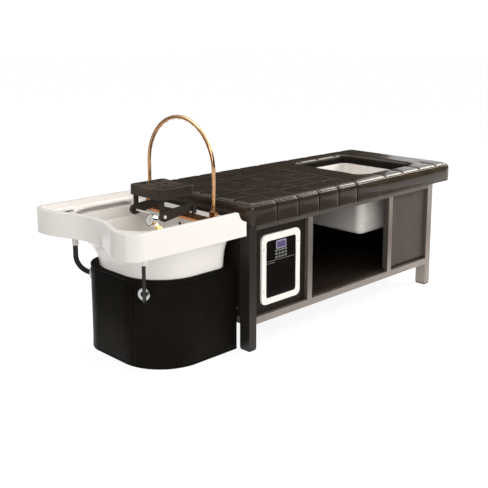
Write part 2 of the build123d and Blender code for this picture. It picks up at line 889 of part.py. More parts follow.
def basin():
    """The moulded basin: rim with skirt, decks, bowl, and its holes."""
    body = rim_slab(0, skirt_bottom, basin_rim_height)
    body = fillet(body.edges().group_by(Axis.Z)[-1], basin_lip_edge_radius)
    body -= rim_slab(basin_lip, deck_height, basin_rim_height + overrun)
    hollow = rim_slab(basin_wall, skirt_bottom - overrun, deck_height - basin_wall)
    kept = block(bed_deck_edge - basin_lip, frame_head, -basin_width, basin_width,
                 bed_deck_height - basin_wall, basin_rim_height)
    body -= hollow - kept
    body -= block(bed_deck_edge, basin_bed + overrun, basin_lip - basin_width / 2,
                  basin_width / 2 - basin_lip, bed_deck_height, basin_rim_height + overrun)
    body -= [scoop(-1), scoop(1)]
    body += bowl_body(0)
    body += slab(bowl_section(1, 0, skirt_bottom), bed_deck_height - basin_wall - skirt_bottom)
    body += bowl_bottom(0)
    body -= bowl_body(1)
    opening = slab(bowl_section(1, basin_lip, skirt_bottom), basin_rim_height + overrun - skirt_bottom)
    body -= opening - bed_wall()
    body += slab(bowl_section(0, 0, drum_height), basin_wall)
    body -= bowl_bottom(1)
    body -= slab(bowl_section(0, bowl_shoulder + basin_wall, drum_height), basin_wall)
    x, y = drain_place()
    body -= upright(basin_drain_bore + basin_wall / 2, x, y, bowl_bottom_height - overrun,
                    bowl_bottom_height + basin_wall + overrun)
    for hole_x, hole_y in (near_fitting(), far_fitting()):
        body -= upright(fitting_pipe_radius + fitting_bore_clearance, hole_x, hole_y,
                        skirt_bottom - overrun, deck_height + overrun)
    return body


def bed_wall():
    """The bed deck's part that stays over the bowl's bed end."""
    return block(bed_deck_edge, frame_head, -basin_width, basin_width, bed_deck_height - basin_wall,
                 bed_deck_height)


def basin_drain():
    """The basin's waste: a flange on the floor, a tail through it and a seat for the strainer."""
    x, y = drain_place()
    floor = bowl_bottom_height + basin_wall
    flange = upright(basin_drain_radius, x, y, floor, floor + basin_drain_flange)
    tail = upright(basin_drain_bore + basin_wall / 2, x, y, floor - basin_drain_tail, floor)
    bore = upright(basin_drain_bore, x, y, floor - strainer_depth, floor + basin_drain_flange + overrun)
    lower = upright(basin_drain_bore - strainer_thickness, x, y, floor - basin_drain_tail - overrun,
                    floor - strainer_depth + overrun)
    return flange + tail - bore - lower


def strainer():
    """The lift-out strainer cup in the waste, with holes round its knob."""
    x, y = drain_place()
    bottom = bowl_bottom_height + basin_wall - strainer_depth
    radius = basin_drain_bore - strainer_clearance
    cup = upright(radius, x, y, bottom, bottom + strainer_depth)
    cup -= upright(radius - strainer_wall, x, y, bottom + strainer_thickness,
                   bottom + strainer_depth + overrun)
    cup += upright(strainer_knob_radius, x, y, bottom, bottom + strainer_thickness + strainer_knob_height)
    for index in range(strainer_hole_count):
        angle = 2 * math.pi * index / strainer_hole_count
        cup -= upright(strainer_hole_radius, x + strainer_ring_radius * math.cos(angle),
                       y + strainer_ring_radius * math.sin(angle), bottom - overrun,
                       bottom + strainer_thickness + overrun)
    return cup


def waste_pipe():
    """The pipe from the basin's waste to the tank's neck."""
    x, y = drain_place()
    top = bowl_bottom_height + basin_wall - basin_drain_tail
    bottom = drum_base_thickness + tank_height + tank_neck_height
    outer = upright(waste_pipe_radius, x, y, bottom, top)
    return outer - upright(waste_pipe_radius - waste_pipe_wall, x, y, bottom - overrun, top + overrun)


def deck_cap():
    """The flat round cap on the far corner's deck."""
    cap = upright(deck_cap_radius, deck_cap_x, deck_cap_y, deck_height,
                  deck_height + deck_cap_height)
    return fillet(cap.edges().group_by(Axis.Z)[-1], deck_cap_height / 2)


# Hoses

def near_fitting():
    """The near hose's place on the deck."""
    return lobe_x + near_fitting_setback, near_fitting_margin - basin_half


def far_fitting():
    """The far hose's place on the deck."""
    return lobe_x + far_fitting_setback, basin_half - far_fitting_margin


def fitting(place, drop, hose_radius):
    """A hose nut under the rim, on a pipe that passes through the deck."""
    x, y = place
    top = skirt_bottom - drop + fitting_height
    nut = Pos(x, y, top - fitting_height) * extrude(RegularPolygon(fitting_radius, 6), amount=fitting_height)
    pipe = upright(fitting_pipe_radius, x, y, top, deck_height)
    cap = upright(fitting_radius, x, y, deck_height, deck_height + deck_cap_height)
    bore = upright(fitting_pipe_radius - hose_wall, x, y, top - fitting_height - overrun,
                   deck_height - overrun)
    return nut + pipe + cap - bore


def drum_corner(side, angle):
    """A point on the drum's rounded head corner, and the way out of the drum there."""
    radius = drum_far_head_radius if side > 0 else drum_head_radius
    centre_x = drum_head + radius
    centre_y = side * (drum_width / 2 - radius)
    out = Vector(math.cos(math.radians(angle)), math.sin(math.radians(angle)), 0)
    return Vector(centre_x, centre_y, grommet_height) + out * radius, out


def grommet(side, angle):
    """A ring that lines a hose's hole through the leather and the board."""
    point, out = drum_corner(side, angle)
    outward = Plane(origin=point, z_dir=out)
    flange = outward * Cylinder(grommet_outer_radius, 2 * grommet_thickness)
    flange -= slab(drum_plan(0, 0), drum_height)
    sleeve = outward * Pos(0, 0, -drum_board / 2) * Cylinder(grommet_sleeve_radius, drum_board)
    bore = outward * Cylinder(grommet_bore, 4 * drum_board)
    return flange + sleeve - bore


def grommet_hole(side, angle):
    """The hole through the drum's leather and board for a grommet."""
    point, out = drum_corner(side, angle)
    depth = drum_leather + drum_board
    return Plane(origin=point, z_dir=out) * Cylinder(grommet_sleeve_radius + plug_clearance, 4 * depth)


def hose_route(place, drop, side, angle):
    """A hose's corners: down from its nut, round in three equal turns, and level into the drum."""
    x, y = place
    top = skirt_bottom - drop
    wall, _ = drum_corner(side, angle)
    level = Vector(wall.X - x, wall.Y - y, 0)
    heading = level.normalized()
    fall = top - grommet_height
    turns = [math.radians(hose_turn), math.radians(2 * hose_turn)]
    run = min(hose_bend_run, fall * hose_fall_share, level.length * hose_level_share)
    points = [Vector(x, y, top), Vector(x, y, top - fall + run * sum(math.cos(turn) for turn in turns))]
    for turn in turns:
        step = heading * (run * math.sin(turn))
        sink = run * math.cos(turn)
        points.append(points[-1] + step - Vector(0, 0, sink))
    points.append(wall + heading * hose_entry)
    return points


def hose(points, radius, label):
    """A hose along straight runs joined by tangent arcs, as large as the runs allow."""
    radii = []
    for before, here, after in zip(points, points[1:], points[2:]):
        run_in, run_out = here - before, after - here
        turn = math.radians(run_in.get_angle(run_out))
        radii.append(hose_arc_share * min(run_in.length, run_out.length) / math.tan(turn / 2))
    path = FilletPolyline(*points, radius=radii)
    start = Plane(origin=path @ 0, z_dir=path % 0)
    outer = sweep(start * Circle(radius), path=path)
    whole = outer - sweep(start * Circle(radius - hose_wall), path=path)
    section = math.pi * (radius ** 2 - (radius - hose_wall) ** 2)
    print(label, "radii", [round(r, 1) for r in radii], "length", round(path.length, 1),
          "volume share", round(whole.volume / (section * path.length), 4))
    return whole


# Spray arch

def spray_bar():
    """The flat bar across the basin's bed end that feeds the arch and carries the neck rest."""
    x_end = frame_head - bar_near_edge
    bar = block(x_end - bar_depth, x_end, -bar_half_width, bar_half_width, bed_deck_height,
                bed_deck_height + bar_thickness)
    return fillet(bar.edges().filter_by(Axis.Z), bar_thickness / 4)


def arch_pivot():
    """The arch's tilt axis: its X and its height."""
    return frame_head - arch_x, bed_deck_height + arch_pivot_rise


def arch_mount(side):
    """A base with two ears and a pin, for one foot of the arch."""
    x, z = arch_pivot()
    y = side * arch_radius
    reach = arch_barrel_length / 2 + arch_ear_clearance
    outer = reach + arch_ear_thickness
    body = block(frame_head - bar_near_edge, x + arch_barrel_radius, y - outer, y + outer,
                 bed_deck_height, bed_deck_height + arch_base_thickness)
    for ear_side in (-1, 1):
        y_start, y_end = sorted((y + ear_side * reach, y + ear_side * outer))
        body += block(x - arch_barrel_radius, x + arch_barrel_radius, y_start, y_end, bed_deck_height, z)
        body += crosswise(arch_barrel_radius, x, z, y_start, y_end)
    return body + crosswise(arch_pivot_radius, x, z, y - outer, y + outer)


def arch():
    """The tube of the arch with a barrel at each foot and its jets."""
    x, z = arch_pivot()
    spring = z + arch_straight
    path = Polyline((x, -arch_radius, z), (x, -arch_radius, spring)).edges()
    bow = ThreePointArc((x, -arch_radius, spring), (x, 0, spring + arch_radius), (x, arch_radius, spring))
    path += bow.edges()
    path += Polyline((x, arch_radius, spring), (x, arch_radius, z)).edges()
    route = Wire(path)
    start = Plane(origin=(x, -arch_radius, z), z_dir=(0, 0, 1))
    body = sweep(start * Circle(arch_tube_radius), path=route)
    hollow = sweep(start * Circle(arch_tube_radius - arch_tube_wall), path=route)
    half_barrel = arch_barrel_length / 2
    bores = []
    for side in (-1, 1):
        y = side * arch_radius
        body += crosswise(arch_barrel_radius, x, z, y - half_barrel, y + half_barrel)
        bores.append(crosswise(arch_pivot_radius + pivot_clearance, x, z, y - arch_radius / 4,
                               y + arch_radius / 4))
    body -= hollow - block(x - arch_radius, x + arch_radius, -2 * arch_radius, 2 * arch_radius,
                           z - arch_radius, z + arch_barrel_radius)
    for index in range(arch_nozzle_count):
        lean = math.radians(arch_nozzle_spread * (index / (arch_nozzle_count - 1) - 1 / 2))
        inward = Vector(0, -math.sin(lean), -math.cos(lean))
        top = Vector(x, 0, spring) - inward * (arch_radius - arch_tube_radius + arch_tube_wall / 2)
        body += Plane(origin=top + inward * (arch_nozzle_length / 2), z_dir=inward) * Cylinder(
            arch_nozzle_radius, arch_nozzle_length)
    return body - bores


def arch_collar(side):
    """The flared collar round one leg of the arch."""
    x, z = arch_pivot()
    base = z + arch_barrel_radius + arch_ear_thickness
    collar = Pos(x, side * arch_radius, base + arch_collar_height / 2) * Cone(
        arch_collar_radius, arch_tube_radius + arch_tube_wall, arch_collar_height)
    return collar - upright(arch_tube_radius + pivot_clearance, x, side * arch_radius, base - overrun,
                            base + arch_collar_height + overrun)


# Neck rest

def neck_pivot():
    """The arms' axis on the brackets."""
    return frame_head - arm_pivot_x, bed_deck_height + arm_pivot_rise


def neck_hinge():
    """The pad's axis in the arms' head ends."""
    return frame_head - arm_head_x, bed_deck_height + arm_head_rise


def neck_bracket(side):
    """An upright plate on the bar with the pin of one arm."""
    x, z = neck_pivot()
    outer = arm_spacing / 2 + arm_thickness / 2 + strut_clearance
    y_start, y_end = sorted((side * outer, side * (outer + bracket_thickness)))
    plate = block(x - bracket_depth / 2, x + bracket_depth / 2, y_start, y_end,
                  bed_deck_height + bar_thickness, z)
    foot = block(x - bracket_depth / 2, x - arm_pivot_x + bar_near_edge, y_start, y_end, bed_deck_height, z)
    plate += crosswise(bracket_depth / 2, x, z, y_start, y_end)
    pin_start, pin_end = sorted((side * (arm_spacing / 2 - arm_thickness / 2), side * (outer + near)))
    return plate + crosswise(neck_pin_radius, x, z, pin_start, pin_end)


def neck_arm(side):
    """A tapered arm from its bracket to the pad's pin."""
    x, z = neck_pivot()
    head_x, head_z = neck_hinge()
    y = side * arm_spacing / 2 - arm_thickness / 2
    bed_end = Pos(x, z) * Circle(arm_bed_radius)
    head_end = Pos(head_x, head_z) * Circle(arm_head_radius)
    outline = make_hull(bed_end.edges() + head_end.edges())
    upright_plane = Plane(origin=(0, y, 0), x_dir=(1, 0, 0), z_dir=(0, -1, 0))
    arm = extrude(upright_plane * outline, amount=-arm_thickness)
    bore = neck_pin_radius + pivot_clearance
    arm -= crosswise(bore, x, z, y - overrun, y + arm_thickness + overrun)
    return arm - crosswise(bore, head_x, head_z, y - overrun, y + arm_thickness + overrun)


def neck_pin():
    """The rod through both arms, with a cap on each end."""
    x, z = neck_hinge()
    reach = arm_spacing / 2 + arm_thickness / 2
    rod = crosswise(neck_pin_radius, x, z, -reach, reach)
    rod += crosswise(neck_pin_head_radius, x, z, -reach - neck_pin_head, -reach)
    return rod + crosswise(neck_pin_head_radius, x, z, reach, reach + neck_pin_head)


def neck_strut(side):
    """A strut from the pin up to the pad's underside."""
    x, z = neck_hinge()
    outer = arm_spacing / 2 - arm_thickness / 2 - strut_clearance
    y_start, y_end = sorted((side * outer, side * (outer - strut_thickness)))
    top = pad_top_height - pad_thickness
    bar = block(x - strut_width / 2, x + strut_width / 2, y_start, y_end, z, top)
    bar += crosswise(strut_width / 2, x, z, y_start, y_end)
    return bar - crosswise(neck_pin_radius + pivot_clearance, x, z, y_start - overrun, y_end + overrun)


def neck_pad():
    """The moulded pad: a dished top with oval holes, and a skirt round three sides."""
    head, bed = frame_head - pad_head_x, frame_head - pad_bed_x
    half = pad_width / 2
    bottom = pad_top_height - pad_skirt
    body = block(head, bed, -half, half, bottom, pad_top_height)
    body = fillet(body.edges().filter_by(Axis.Z), pad_corner_radius)
    body = fillet(body.edges().group_by(Axis.Z)[-1], pad_edge_radius)
    wall = pad_skirt_wall
    body -= block(head + wall, bed - wall, wall - half, half - wall, bottom - overrun,
                  pad_top_height - pad_thickness)
    body -= Pos((head + bed) / 2, 0, pad_top_height + pad_dip_radius - pad_thickness / 2) * Rot(
        0, 90, 0) * Cylinder(pad_dip_radius, pad_head_x)
    middle_x = (head + bed) / 2
    for row in range(pad_hole_rows):
        for column in range(pad_hole_columns):
            x = middle_x + (row - (pad_hole_rows - 1) / 2) * pad_hole_pitch_x
            y = (column - (pad_hole_columns - 1) / 2) * pad_hole_pitch_y
            slot = Pos(x, y, bottom) * SlotOverall(pad_hole_length, pad_hole_width)
            body -= extrude(slot, amount=pad_skirt + overrun, dir=(0, 0, 1))
    return body


# Shower

def shower_frame():
    """The shower's stem axis: its foot on the deck, leaning over the bowl."""
    foot = Pos(shower_x, -shower_y, deck_height)
    return foot * Rot(0, 0, shower_turn) * Rot(-shower_lean, 0, 0)


def shower_guide():
    """The brass collar on the deck that the stem slides in."""
    flange = upright(guide_flange_radius, shower_x, -shower_y, deck_height,
                     deck_height + guide_flange_height)
    collar = shower_frame() * Pos(0, 0, guide_height / 2) * Cylinder(guide_radius, guide_height)
    below = block(lobe_x, frame_head, -basin_half, 0, 0, deck_height)
    bore = shower_frame() * Pos(0, 0, stem_length / 2 + guide_flange_height) * Cylinder(
        stem_radius + stem_clearance, stem_length)
    return flange + (collar - below) - bore


def shower_stem():
    """The brass stem of the shower, up to its neck."""
    top = guide_height + shower_neck_length
    stem = shower_frame() * Pos(0, 0, (top + stem_foot()) / 2) * Cylinder(stem_radius, top - stem_foot())
    return stem


def stem_foot():
    """How far up the guide's axis the stem starts."""
    return guide_flange_height + stem_radius * math.tan(math.radians(shower_lean))


def head_frame():
    """The shower head's axis, out of its face."""
    return shower_frame() * Pos(0, 0, guide_height + shower_neck_length + head_rise()) * Rot(
        0, -90 + shower_nod, 0)


def head_rise():
    """How far the bell's middle is above the stem's end, so that its rim clears it."""
    nod = math.radians(shower_nod)
    return shower_head_radius * math.cos(nod) + shower_head_length / 2 * math.sin(nod)


def shower_head():
    """The chrome bell of the shower, with a recess for its face."""
    bell = head_frame() * Cylinder(shower_head_radius, shower_head_length)
    back = bell.faces().sort_by(lambda f: (f.center() - bell.center()).dot(head_normal()))[0]
    bell = fillet(back.edges(), shower_head_length / 3)
    neck = shower_frame() * Pos(0, 0, guide_height + shower_neck_length + head_rise() / 2) * Cylinder(
        stem_radius, head_rise())
    recess = head_frame() * Pos(0, 0, shower_head_length / 2) * Cylinder(
        shower_face_radius + pivot_clearance, 2 * shower_face_thickness)
    return bell + neck - recess


def head_normal():
    """The way that the shower's face looks."""
    return (head_frame() * Pos(0, 0, 1)).position - head_frame().position


def shower_face():
    """The white jet plate in the shower's bell."""
    plate = head_frame() * Pos(0, 0, (shower_head_length - shower_face_thickness) / 2) * Cylinder(
        shower_face_radius, shower_face_thickness)
    return plate


# All nodes

def frame_nodes():
    """The steel frame with its boards."""
    nodes = {}
    for end, x_start in (("head", frame_head), ("foot", inner_foot)):
        for place, side in (("near", -1), ("far", 1)):
            nodes["leg_" + end + "_" + place] = leg(x_start, side)
    nodes["leg_glides"] = [glide(x_start, side) for x_start in (frame_head, inner_foot) for side in (-1, 1)]
    for place, side in (("near", -1), ("far", 1)):
        nodes["top_rail_" + place] = rail_along(side, top_rail_bottom, top_rail_height)
        nodes["bottom_rail_" + place] = rail_along(side, rail_bottom, tube)
        nodes["posts_" + place] = [post(x_start, side) for x_start in (post_one, post_two)]
    ends = (frame_head, frame_foot - tube)
    nodes["top_cross_rails"] = [rail_across(x_start, top_rail_bottom, top_rail_height) for x_start in ends]
    nodes["bottom_cross_rails"] = [rail_across(x_start, rail_bottom, tube) - joint_holes()
                                   for x_start in ends]
    nodes["shelf_board"] = shelf()
    nodes["control_panel"] = side_panel(inner_head, post_one, -1)
    nodes["foot_panel"] = side_panel(post_two + tube, inner_foot, -1)
    nodes["back_panels"] = back_panels()
    nodes["end_panels"] = [end_panel(frame_head), end_panel(frame_foot - panel_thickness)]
    nodes["partition"] = partition()
    return nodes


def couch_nodes():
    """The couch's top and the foot tub."""
    return {"cushion_board": cushion_board(), "bed_cushion": cushion(), "foot_tub": tub(),
            "foot_drain": foot_drain(), "foot_plug": foot_plug()}


def machine_nodes():
    """The control unit and the machines behind it."""
    return {"control_bezel": bezel(), "control_glass": control_glass(), "control_display": control_display(),
            "control_keys": control_keys(), "control_box": control_box(), "steam_heater": heater(),
            "circulation_pump": pump(), "power_inlet": power_inlet()}


def drum_nodes():
    """The drum, what is in it, and its hoses."""
    places = ((-1, near_grommet_angle), (1, far_grommet_angle))
    holes = [grommet_hole(side, angle) for side, angle in places] + joint_holes()
    near_route = hose_route(near_fitting(), near_fitting_drop, *places[0])
    far_route = hose_route(far_fitting(), far_fitting_drop, *places[1])
    return {"drum_leather": drum_leather_skin() - holes, "drum_shell": drum_shell() - holes,
            "drum_lid": drum_lid(), "water_tank": water_tank(), "joint_bolts": joint_bolts(),
            "waste_pipe": waste_pipe(),
            "hose_fittings": [fitting(near_fitting(), near_fitting_drop, near_hose_radius),
                              fitting(far_fitting(), far_fitting_drop, far_hose_radius)],
            "hose_grommets": [grommet(side, angle) for side, angle in places],
            "near_hose": hose(near_route, near_hose_radius, "near hose"),
            "far_hose": hose(far_route, far_hose_radius, "far hose")}


def basin_nodes():
    """The basin and what stands on it."""
    return {"basin": basin(), "basin_drain": basin_drain(), "basin_strainer": strainer(),
            "deck_cap": deck_cap(), "spray_bar": spray_bar(), "arch_mounts": [arch_mount(-1), arch_mount(1)],
            "spray_arch": arch(), "arch_collars": [arch_collar(-1), arch_collar(1)],
            "neck_brackets": [neck_bracket(-1), neck_bracket(1)], "neck_arms": [neck_arm(-1), neck_arm(1)],
            "neck_pin": neck_pin(), "neck_struts": [neck_strut(-1), neck_strut(1)], "neck_pad": neck_pad(),
            "shower_guide": shower_guide(), "shower_stem": shower_stem(), "shower_head": shower_head(),
            "shower_face": shower_face()}


os.makedirs("parts", exist_ok=True)
for group in (frame_nodes(), couch_nodes(), machine_nodes(), drum_nodes(), basin_nodes()):
    for node, shapes in group.items():
        write(node, shapes)
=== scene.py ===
import math

import bpy
import numpy as np
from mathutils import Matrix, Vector, noise
from mathutils.bvhtree import BVHTree


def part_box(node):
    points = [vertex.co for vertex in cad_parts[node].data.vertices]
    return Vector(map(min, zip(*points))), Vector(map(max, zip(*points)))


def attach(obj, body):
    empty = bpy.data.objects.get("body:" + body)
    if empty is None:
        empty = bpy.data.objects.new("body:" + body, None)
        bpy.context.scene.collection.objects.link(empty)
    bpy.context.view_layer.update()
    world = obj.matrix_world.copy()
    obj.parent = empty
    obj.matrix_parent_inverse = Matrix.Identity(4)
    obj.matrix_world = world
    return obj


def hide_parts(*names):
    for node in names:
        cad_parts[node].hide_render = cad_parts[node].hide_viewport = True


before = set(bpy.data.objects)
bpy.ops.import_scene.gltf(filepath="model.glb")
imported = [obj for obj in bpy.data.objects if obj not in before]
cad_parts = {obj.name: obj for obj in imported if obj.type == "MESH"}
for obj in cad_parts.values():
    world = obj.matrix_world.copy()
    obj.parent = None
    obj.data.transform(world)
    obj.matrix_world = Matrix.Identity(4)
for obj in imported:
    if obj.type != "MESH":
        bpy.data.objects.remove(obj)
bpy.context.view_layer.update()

scene = bpy.context.scene
scene.view_settings.view_transform = "Standard"
mm = 0.001


# Camera

def look_along(direction):
    """The rotation of a camera or lamp that looks along a direction."""
    return Vector(direction).normalized().to_track_quat("-Z", "Y").to_euler()


camera_data = bpy.data.cameras.new("camera")
camera = bpy.data.objects.new("camera", camera_data)
scene.collection.objects.link(camera)
camera.location = (-2.6562, -2.5581, 1.3177)
camera.rotation_euler = look_along((0.68837, 0.70353, -0.17658))
camera_data.sensor_width = 36.0
camera_data.lens = 60.41
camera_data.shift_y = -0.15
camera_data.clip_end = 100.0
scene.camera = camera


# Floor, world and lamps

def seen_directly(nodes, links):
    """1 for camera, glossy and transmission rays, and 0 for the rest."""
    path = nodes.new("ShaderNodeLightPath")
    value = path.outputs["Is Camera Ray"]
    for ray in ("Is Glossy Ray", "Is Transmission Ray"):
        larger = nodes.new("ShaderNodeMath")
        larger.operation = "MAXIMUM"
        links.new(value, larger.inputs[0])
        links.new(path.outputs[ray], larger.inputs[1])
        value = larger.outputs[0]
    return value


def make_world(strength):
    """White where it is seen, and of a chosen strength where it lights the object."""
    world = bpy.data.worlds.new("studio")
    scene.world = world
    world.use_nodes = True
    nodes, links = world.node_tree.nodes, world.node_tree.links
    nodes.clear()
    out = nodes.new("ShaderNodeOutputWorld")
    level = nodes.new("ShaderNodeMapRange")
    links.new(seen_directly(nodes, links), level.inputs["Value"])
    level.inputs["To Min"].default_value = strength
    background = nodes.new("ShaderNodeBackground")
    background.inputs["Color"].default_value = (1, 1, 1, 1)
    links.new(level.outputs[0], background.inputs["Strength"])
    links.new(background.outputs[0], out.inputs["Surface"])


def stage_sheet(name, width, depth):
    """A flat sheet round the origin that belongs to the studio."""
    x, y = width / 2, depth / 2
    mesh = bpy.data.meshes.new(name)
    mesh.from_pydata([(-x, -y, 0), (x, -y, 0), (x, y, 0), (-x, y, 0)], [], [(0, 1, 2, 3)])
    sheet = bpy.data.objects.new(name, mesh)
    scene.collection.objects.link(sheet)
    return sheet


def make_floor(side, brightness, share_of_glow):
    """A pale floor that glows for the camera, so that it meets the white background."""
    floor = stage_sheet("floor", side, side)
    material = bpy.data.materials.new("pale_floor")
    material.use_nodes = True
    nodes, links = material.node_tree.nodes, material.node_tree.links
    nodes.clear()
    out = nodes.new("ShaderNodeOutputMaterial")
    diffuse = nodes.new("ShaderNodeBsdfDiffuse")
    diffuse.inputs["Color"].default_value = (0.88, 0.88, 0.88, 1)
    glow = nodes.new("ShaderNodeEmission")
    glow.inputs["Strength"].default_value = brightness
    mix = nodes.new("ShaderNodeMixShader")
    share = nodes.new("ShaderNodeMath")
    share.operation = "MULTIPLY"
    share.inputs[1].default_value = share_of_glow
    links.new(seen_directly(nodes, links), share.inputs[0])
    links.new(share.outputs[0], mix.inputs["Fac"])
    links.new(diffuse.outputs[0], mix.inputs[1])
    links.new(glow.outputs[0], mix.inputs[2])
    links.new(mix.outputs[0], out.inputs["Surface"])
    floor.data.materials.append(material)


def dark_flag(name, place, target, size):
    """A black backdrop that only reflections see."""
    flag = stage_sheet(name, *size)
    flag.location = place
    flag.rotation_euler = look_along(Vector(target) - Vector(place))
    for kind in ("camera", "diffuse", "shadow", "transmission"):
        setattr(flag, "visible_" + kind, False)
    material = bpy.data.materials.new(name)
    material.use_nodes = True
    shader = material.node_tree.nodes["Principled BSDF"]
    shader.inputs["Base Color"].default_value = (0.02, 0.018, 0.016, 1)
    shader.inputs["Roughness"].default_value = 1.0
    flag.data.materials.append(material)


def lamp(name, place, target, size, power, unseen=()):
    """A soft studio lamp, left out of some kinds of ray."""
    data = bpy.data.lights.new(name, "AREA")
    data.shape = "RECTANGLE"
    data.size, data.size_y = size
    data.energy = power
    data.color = (1.0, 0.955, 0.90)
    light = bpy.data.objects.new(name, data)
    scene.collection.objects.link(light)
    light.location = place
    light.rotation_euler = look_along(Vector(target) - Vector(place))
    for kind in unseen:
        setattr(light, "visible_" + kind, False)


make_world(0.56)
make_floor(60, 1.12, 0.8)
dark_flag("far_flag", (1.6, 3.9, 2.15), (-0.03, 1.38, 1.8), (6.1, 3.5))
dark_flag("head_flag", (-3.2, 2.4, 1.0), (-0.4, 0, 0.5), (3.4, 1.8))
dark_flag("near_flag", (0.75, -1.6, 0.004), (0.75, -1.6, 3.0), (2.5, 1.7))
dark_flag("drum_flag", (-1.9, 1.2, 0.004), (-1.9, 1.2, 3.0), (1.7, 2.2))
dark_flag("foot_flag", (3.6, -3.3, 2.1), (0.3, 0, 1.8), (5.0, 3.2))
dark_flag("front_flag", (-3.2, -4.6, 2.3), (-0.2, 0, 1.8), (4.6, 3.0))
dark_flag("side_flag", (0.3, -5.6, 2.2), (0.3, 0, 1.8), (3.4, 3.2))
dark_flag("foot_end_flag", (5.0, -0.5, 2.0), (0.3, 0, 1.8), (3.6, 3.0))
dark_flag("head_end_flag", (-5.0, -0.4, 2.0), (-0.3, 0, 1.8), (4.2, 3.0))
lamp("key", (-2.6, -3.0, 2.4), (-0.6, 0, 0.4), (2.0, 1.8), 45)
lamp("top", (-0.1, 0.3, 3.0), (-0.2, 0, 0.4), (3.0, 1.6), 38)
lamp("foot", (2.35, -1.0, 1.8), (0.95, -0.25, 0.5), (1.5, 1.0), 78, ("glossy",))
lamp("streak", (2.9, -0.6, 2.4), (0.4, -0.33, 0.6), (2.2, 1.1), 80, ("diffuse",))
lamp("side", (1.75, -2.1, 0.8), (1.0, -0.33, 0.5), (0.9, 0.7), 16, ("glossy",))


# Materials

def start_material(name, colour, roughness, **extra):
    """A principled material, its tree, its shader and the object's coordinates."""
    material = bpy.data.materials.new(name)
    material.use_nodes = True
    tree = material.node_tree
    shader = tree.nodes["Principled BSDF"]
    shader.inputs["Base Color"].default_value = (*colour, 1)
    shader.inputs["Roughness"].default_value = roughness
    for socket, value in extra.items():
        shader.inputs[socket.replace("_", " ")].default_value = value
    place = tree.nodes.new("ShaderNodeTexCoord")
    return material, tree, shader, place.outputs["Object"]


def noise_field(tree, place, size, detail=3.0, stretch=(1, 1, 1)):
    """Noise of a size in metres, longer along an axis where its stretch is more."""
    mapping = tree.nodes.new("ShaderNodeMapping")
    mapping.inputs["Scale"].default_value = [1 / (size * s) for s in stretch]
    field = tree.nodes.new("ShaderNodeTexNoise")
    field.inputs["Detail"].default_value = detail
    field.inputs["Scale"].default_value = 1.0
    tree.links.new(place, mapping.inputs["Vector"])
    tree.links.new(mapping.outputs[0], field.inputs["Vector"])
    return field.outputs["Fac"]


def cell_field(tree, place, size, feature="F1"):
    """Cells of a size in metres."""
    field = tree.nodes.new("ShaderNodeTexVoronoi")
    field.feature = feature
    field.inputs["Scale"].default_value = 1 / size
    tree.links.new(place, field.inputs["Vector"])
    return field.outputs["Distance"]


def remap(tree, value, low, high, to_low=0.0, to_high=1.0):
    """A value's range from low to high, spread over another range."""
    node = tree.nodes.new("ShaderNodeMapRange")
    for socket, number in (("From Min", low), ("From Max", high), ("To Min", to_low), ("To Max", to_high)):
        node.inputs[socket].default_value = number
    tree.links.new(value, node.inputs["Value"])
    return node.outputs[0]


def two_tone(tree, shader, factor, first, second):
    """The base colour runs from the first to the second."""
    mix = tree.nodes.new("ShaderNodeMix")
    mix.data_type = "RGBA"
    mix.inputs["A"].default_value = (*first, 1)
    mix.inputs["B"].default_value = (*second, 1)
    tree.links.new(factor, mix.inputs["Factor"])
    tree.links.new(mix.outputs["Result"], shader.inputs["Base Color"])


def uneven_gloss(tree, shader, field, low, high, span=(0.3, 0.7)):
    """The roughness runs from low to high as a field runs over its span."""
    tree.links.new(remap(tree, field, *span, low, high), shader.inputs["Roughness"])


def worn_edge(tree, shader, colour, amount):
    """Edges rubbed towards a colour."""
    geometry = tree.nodes.new("ShaderNodeNewGeometry")
    rubbed = remap(tree, geometry.outputs["Pointiness"], 0.52, 0.6, 0.0, amount)
    source = shader.inputs["Base Color"]
    mix = tree.nodes.new("ShaderNodeMix")
    mix.data_type = "RGBA"
    if source.is_linked:
        tree.links.new(source.links[0].from_socket, mix.inputs["A"])
    else:
        mix.inputs["A"].default_value = source.default_value
    mix.inputs["B"].default_value = (*colour, 1)
    tree.links.new(rubbed, mix.inputs["Factor"])
    tree.links.new(mix.outputs["Result"], source)


def add_bump(tree, shader, height, distance, strength=1.0):
    """One more bump, on top of the ones the shader already has."""
    bump = tree.nodes.new("ShaderNodeBump")
    bump.inputs["Distance"].default_value = distance
    bump.inputs["Strength"].default_value = strength
    tree.links.new(height, bump.inputs["Height"])
    source = shader.inputs["Normal"]
    if source.is_linked:
        tree.links.new(source.links[0].from_socket, bump.inputs["Normal"])
    tree.links.new(bump.outputs[0], source)


def leather(name, dark, warm, low, high, specular, coat=0.0):
    """Coated leather: a fine pebble grain over soft creases, and a cloud in colour and gloss."""
    material, tree, shader, place = start_material(name, dark, low)
    shader.inputs["Specular IOR Level"].default_value = specular
    # A warm specular tint: a painted warm sheen, standing in for warm light in the leather's reflections.
    shader.inputs["Specular Tint"].default_value = (1.0, 0.87, 0.74, 1)
    shader.inputs["Coat Weight"].default_value = coat
    shader.inputs["Coat Roughness"].default_value = 0.13
    two_tone(tree, shader, remap(tree, noise_field(tree, place, 0.11, 4), 0.35, 0.68), dark, warm)
    uneven_gloss(tree, shader, noise_field(tree, place, 0.035, 5), low, high)
    add_bump(tree, shader, noise_field(tree, place, 0.03, 4), 0.0012, 0.5)
    add_bump(tree, shader, cell_field(tree, place, 0.0022), 0.00035, 0.6)
    return material


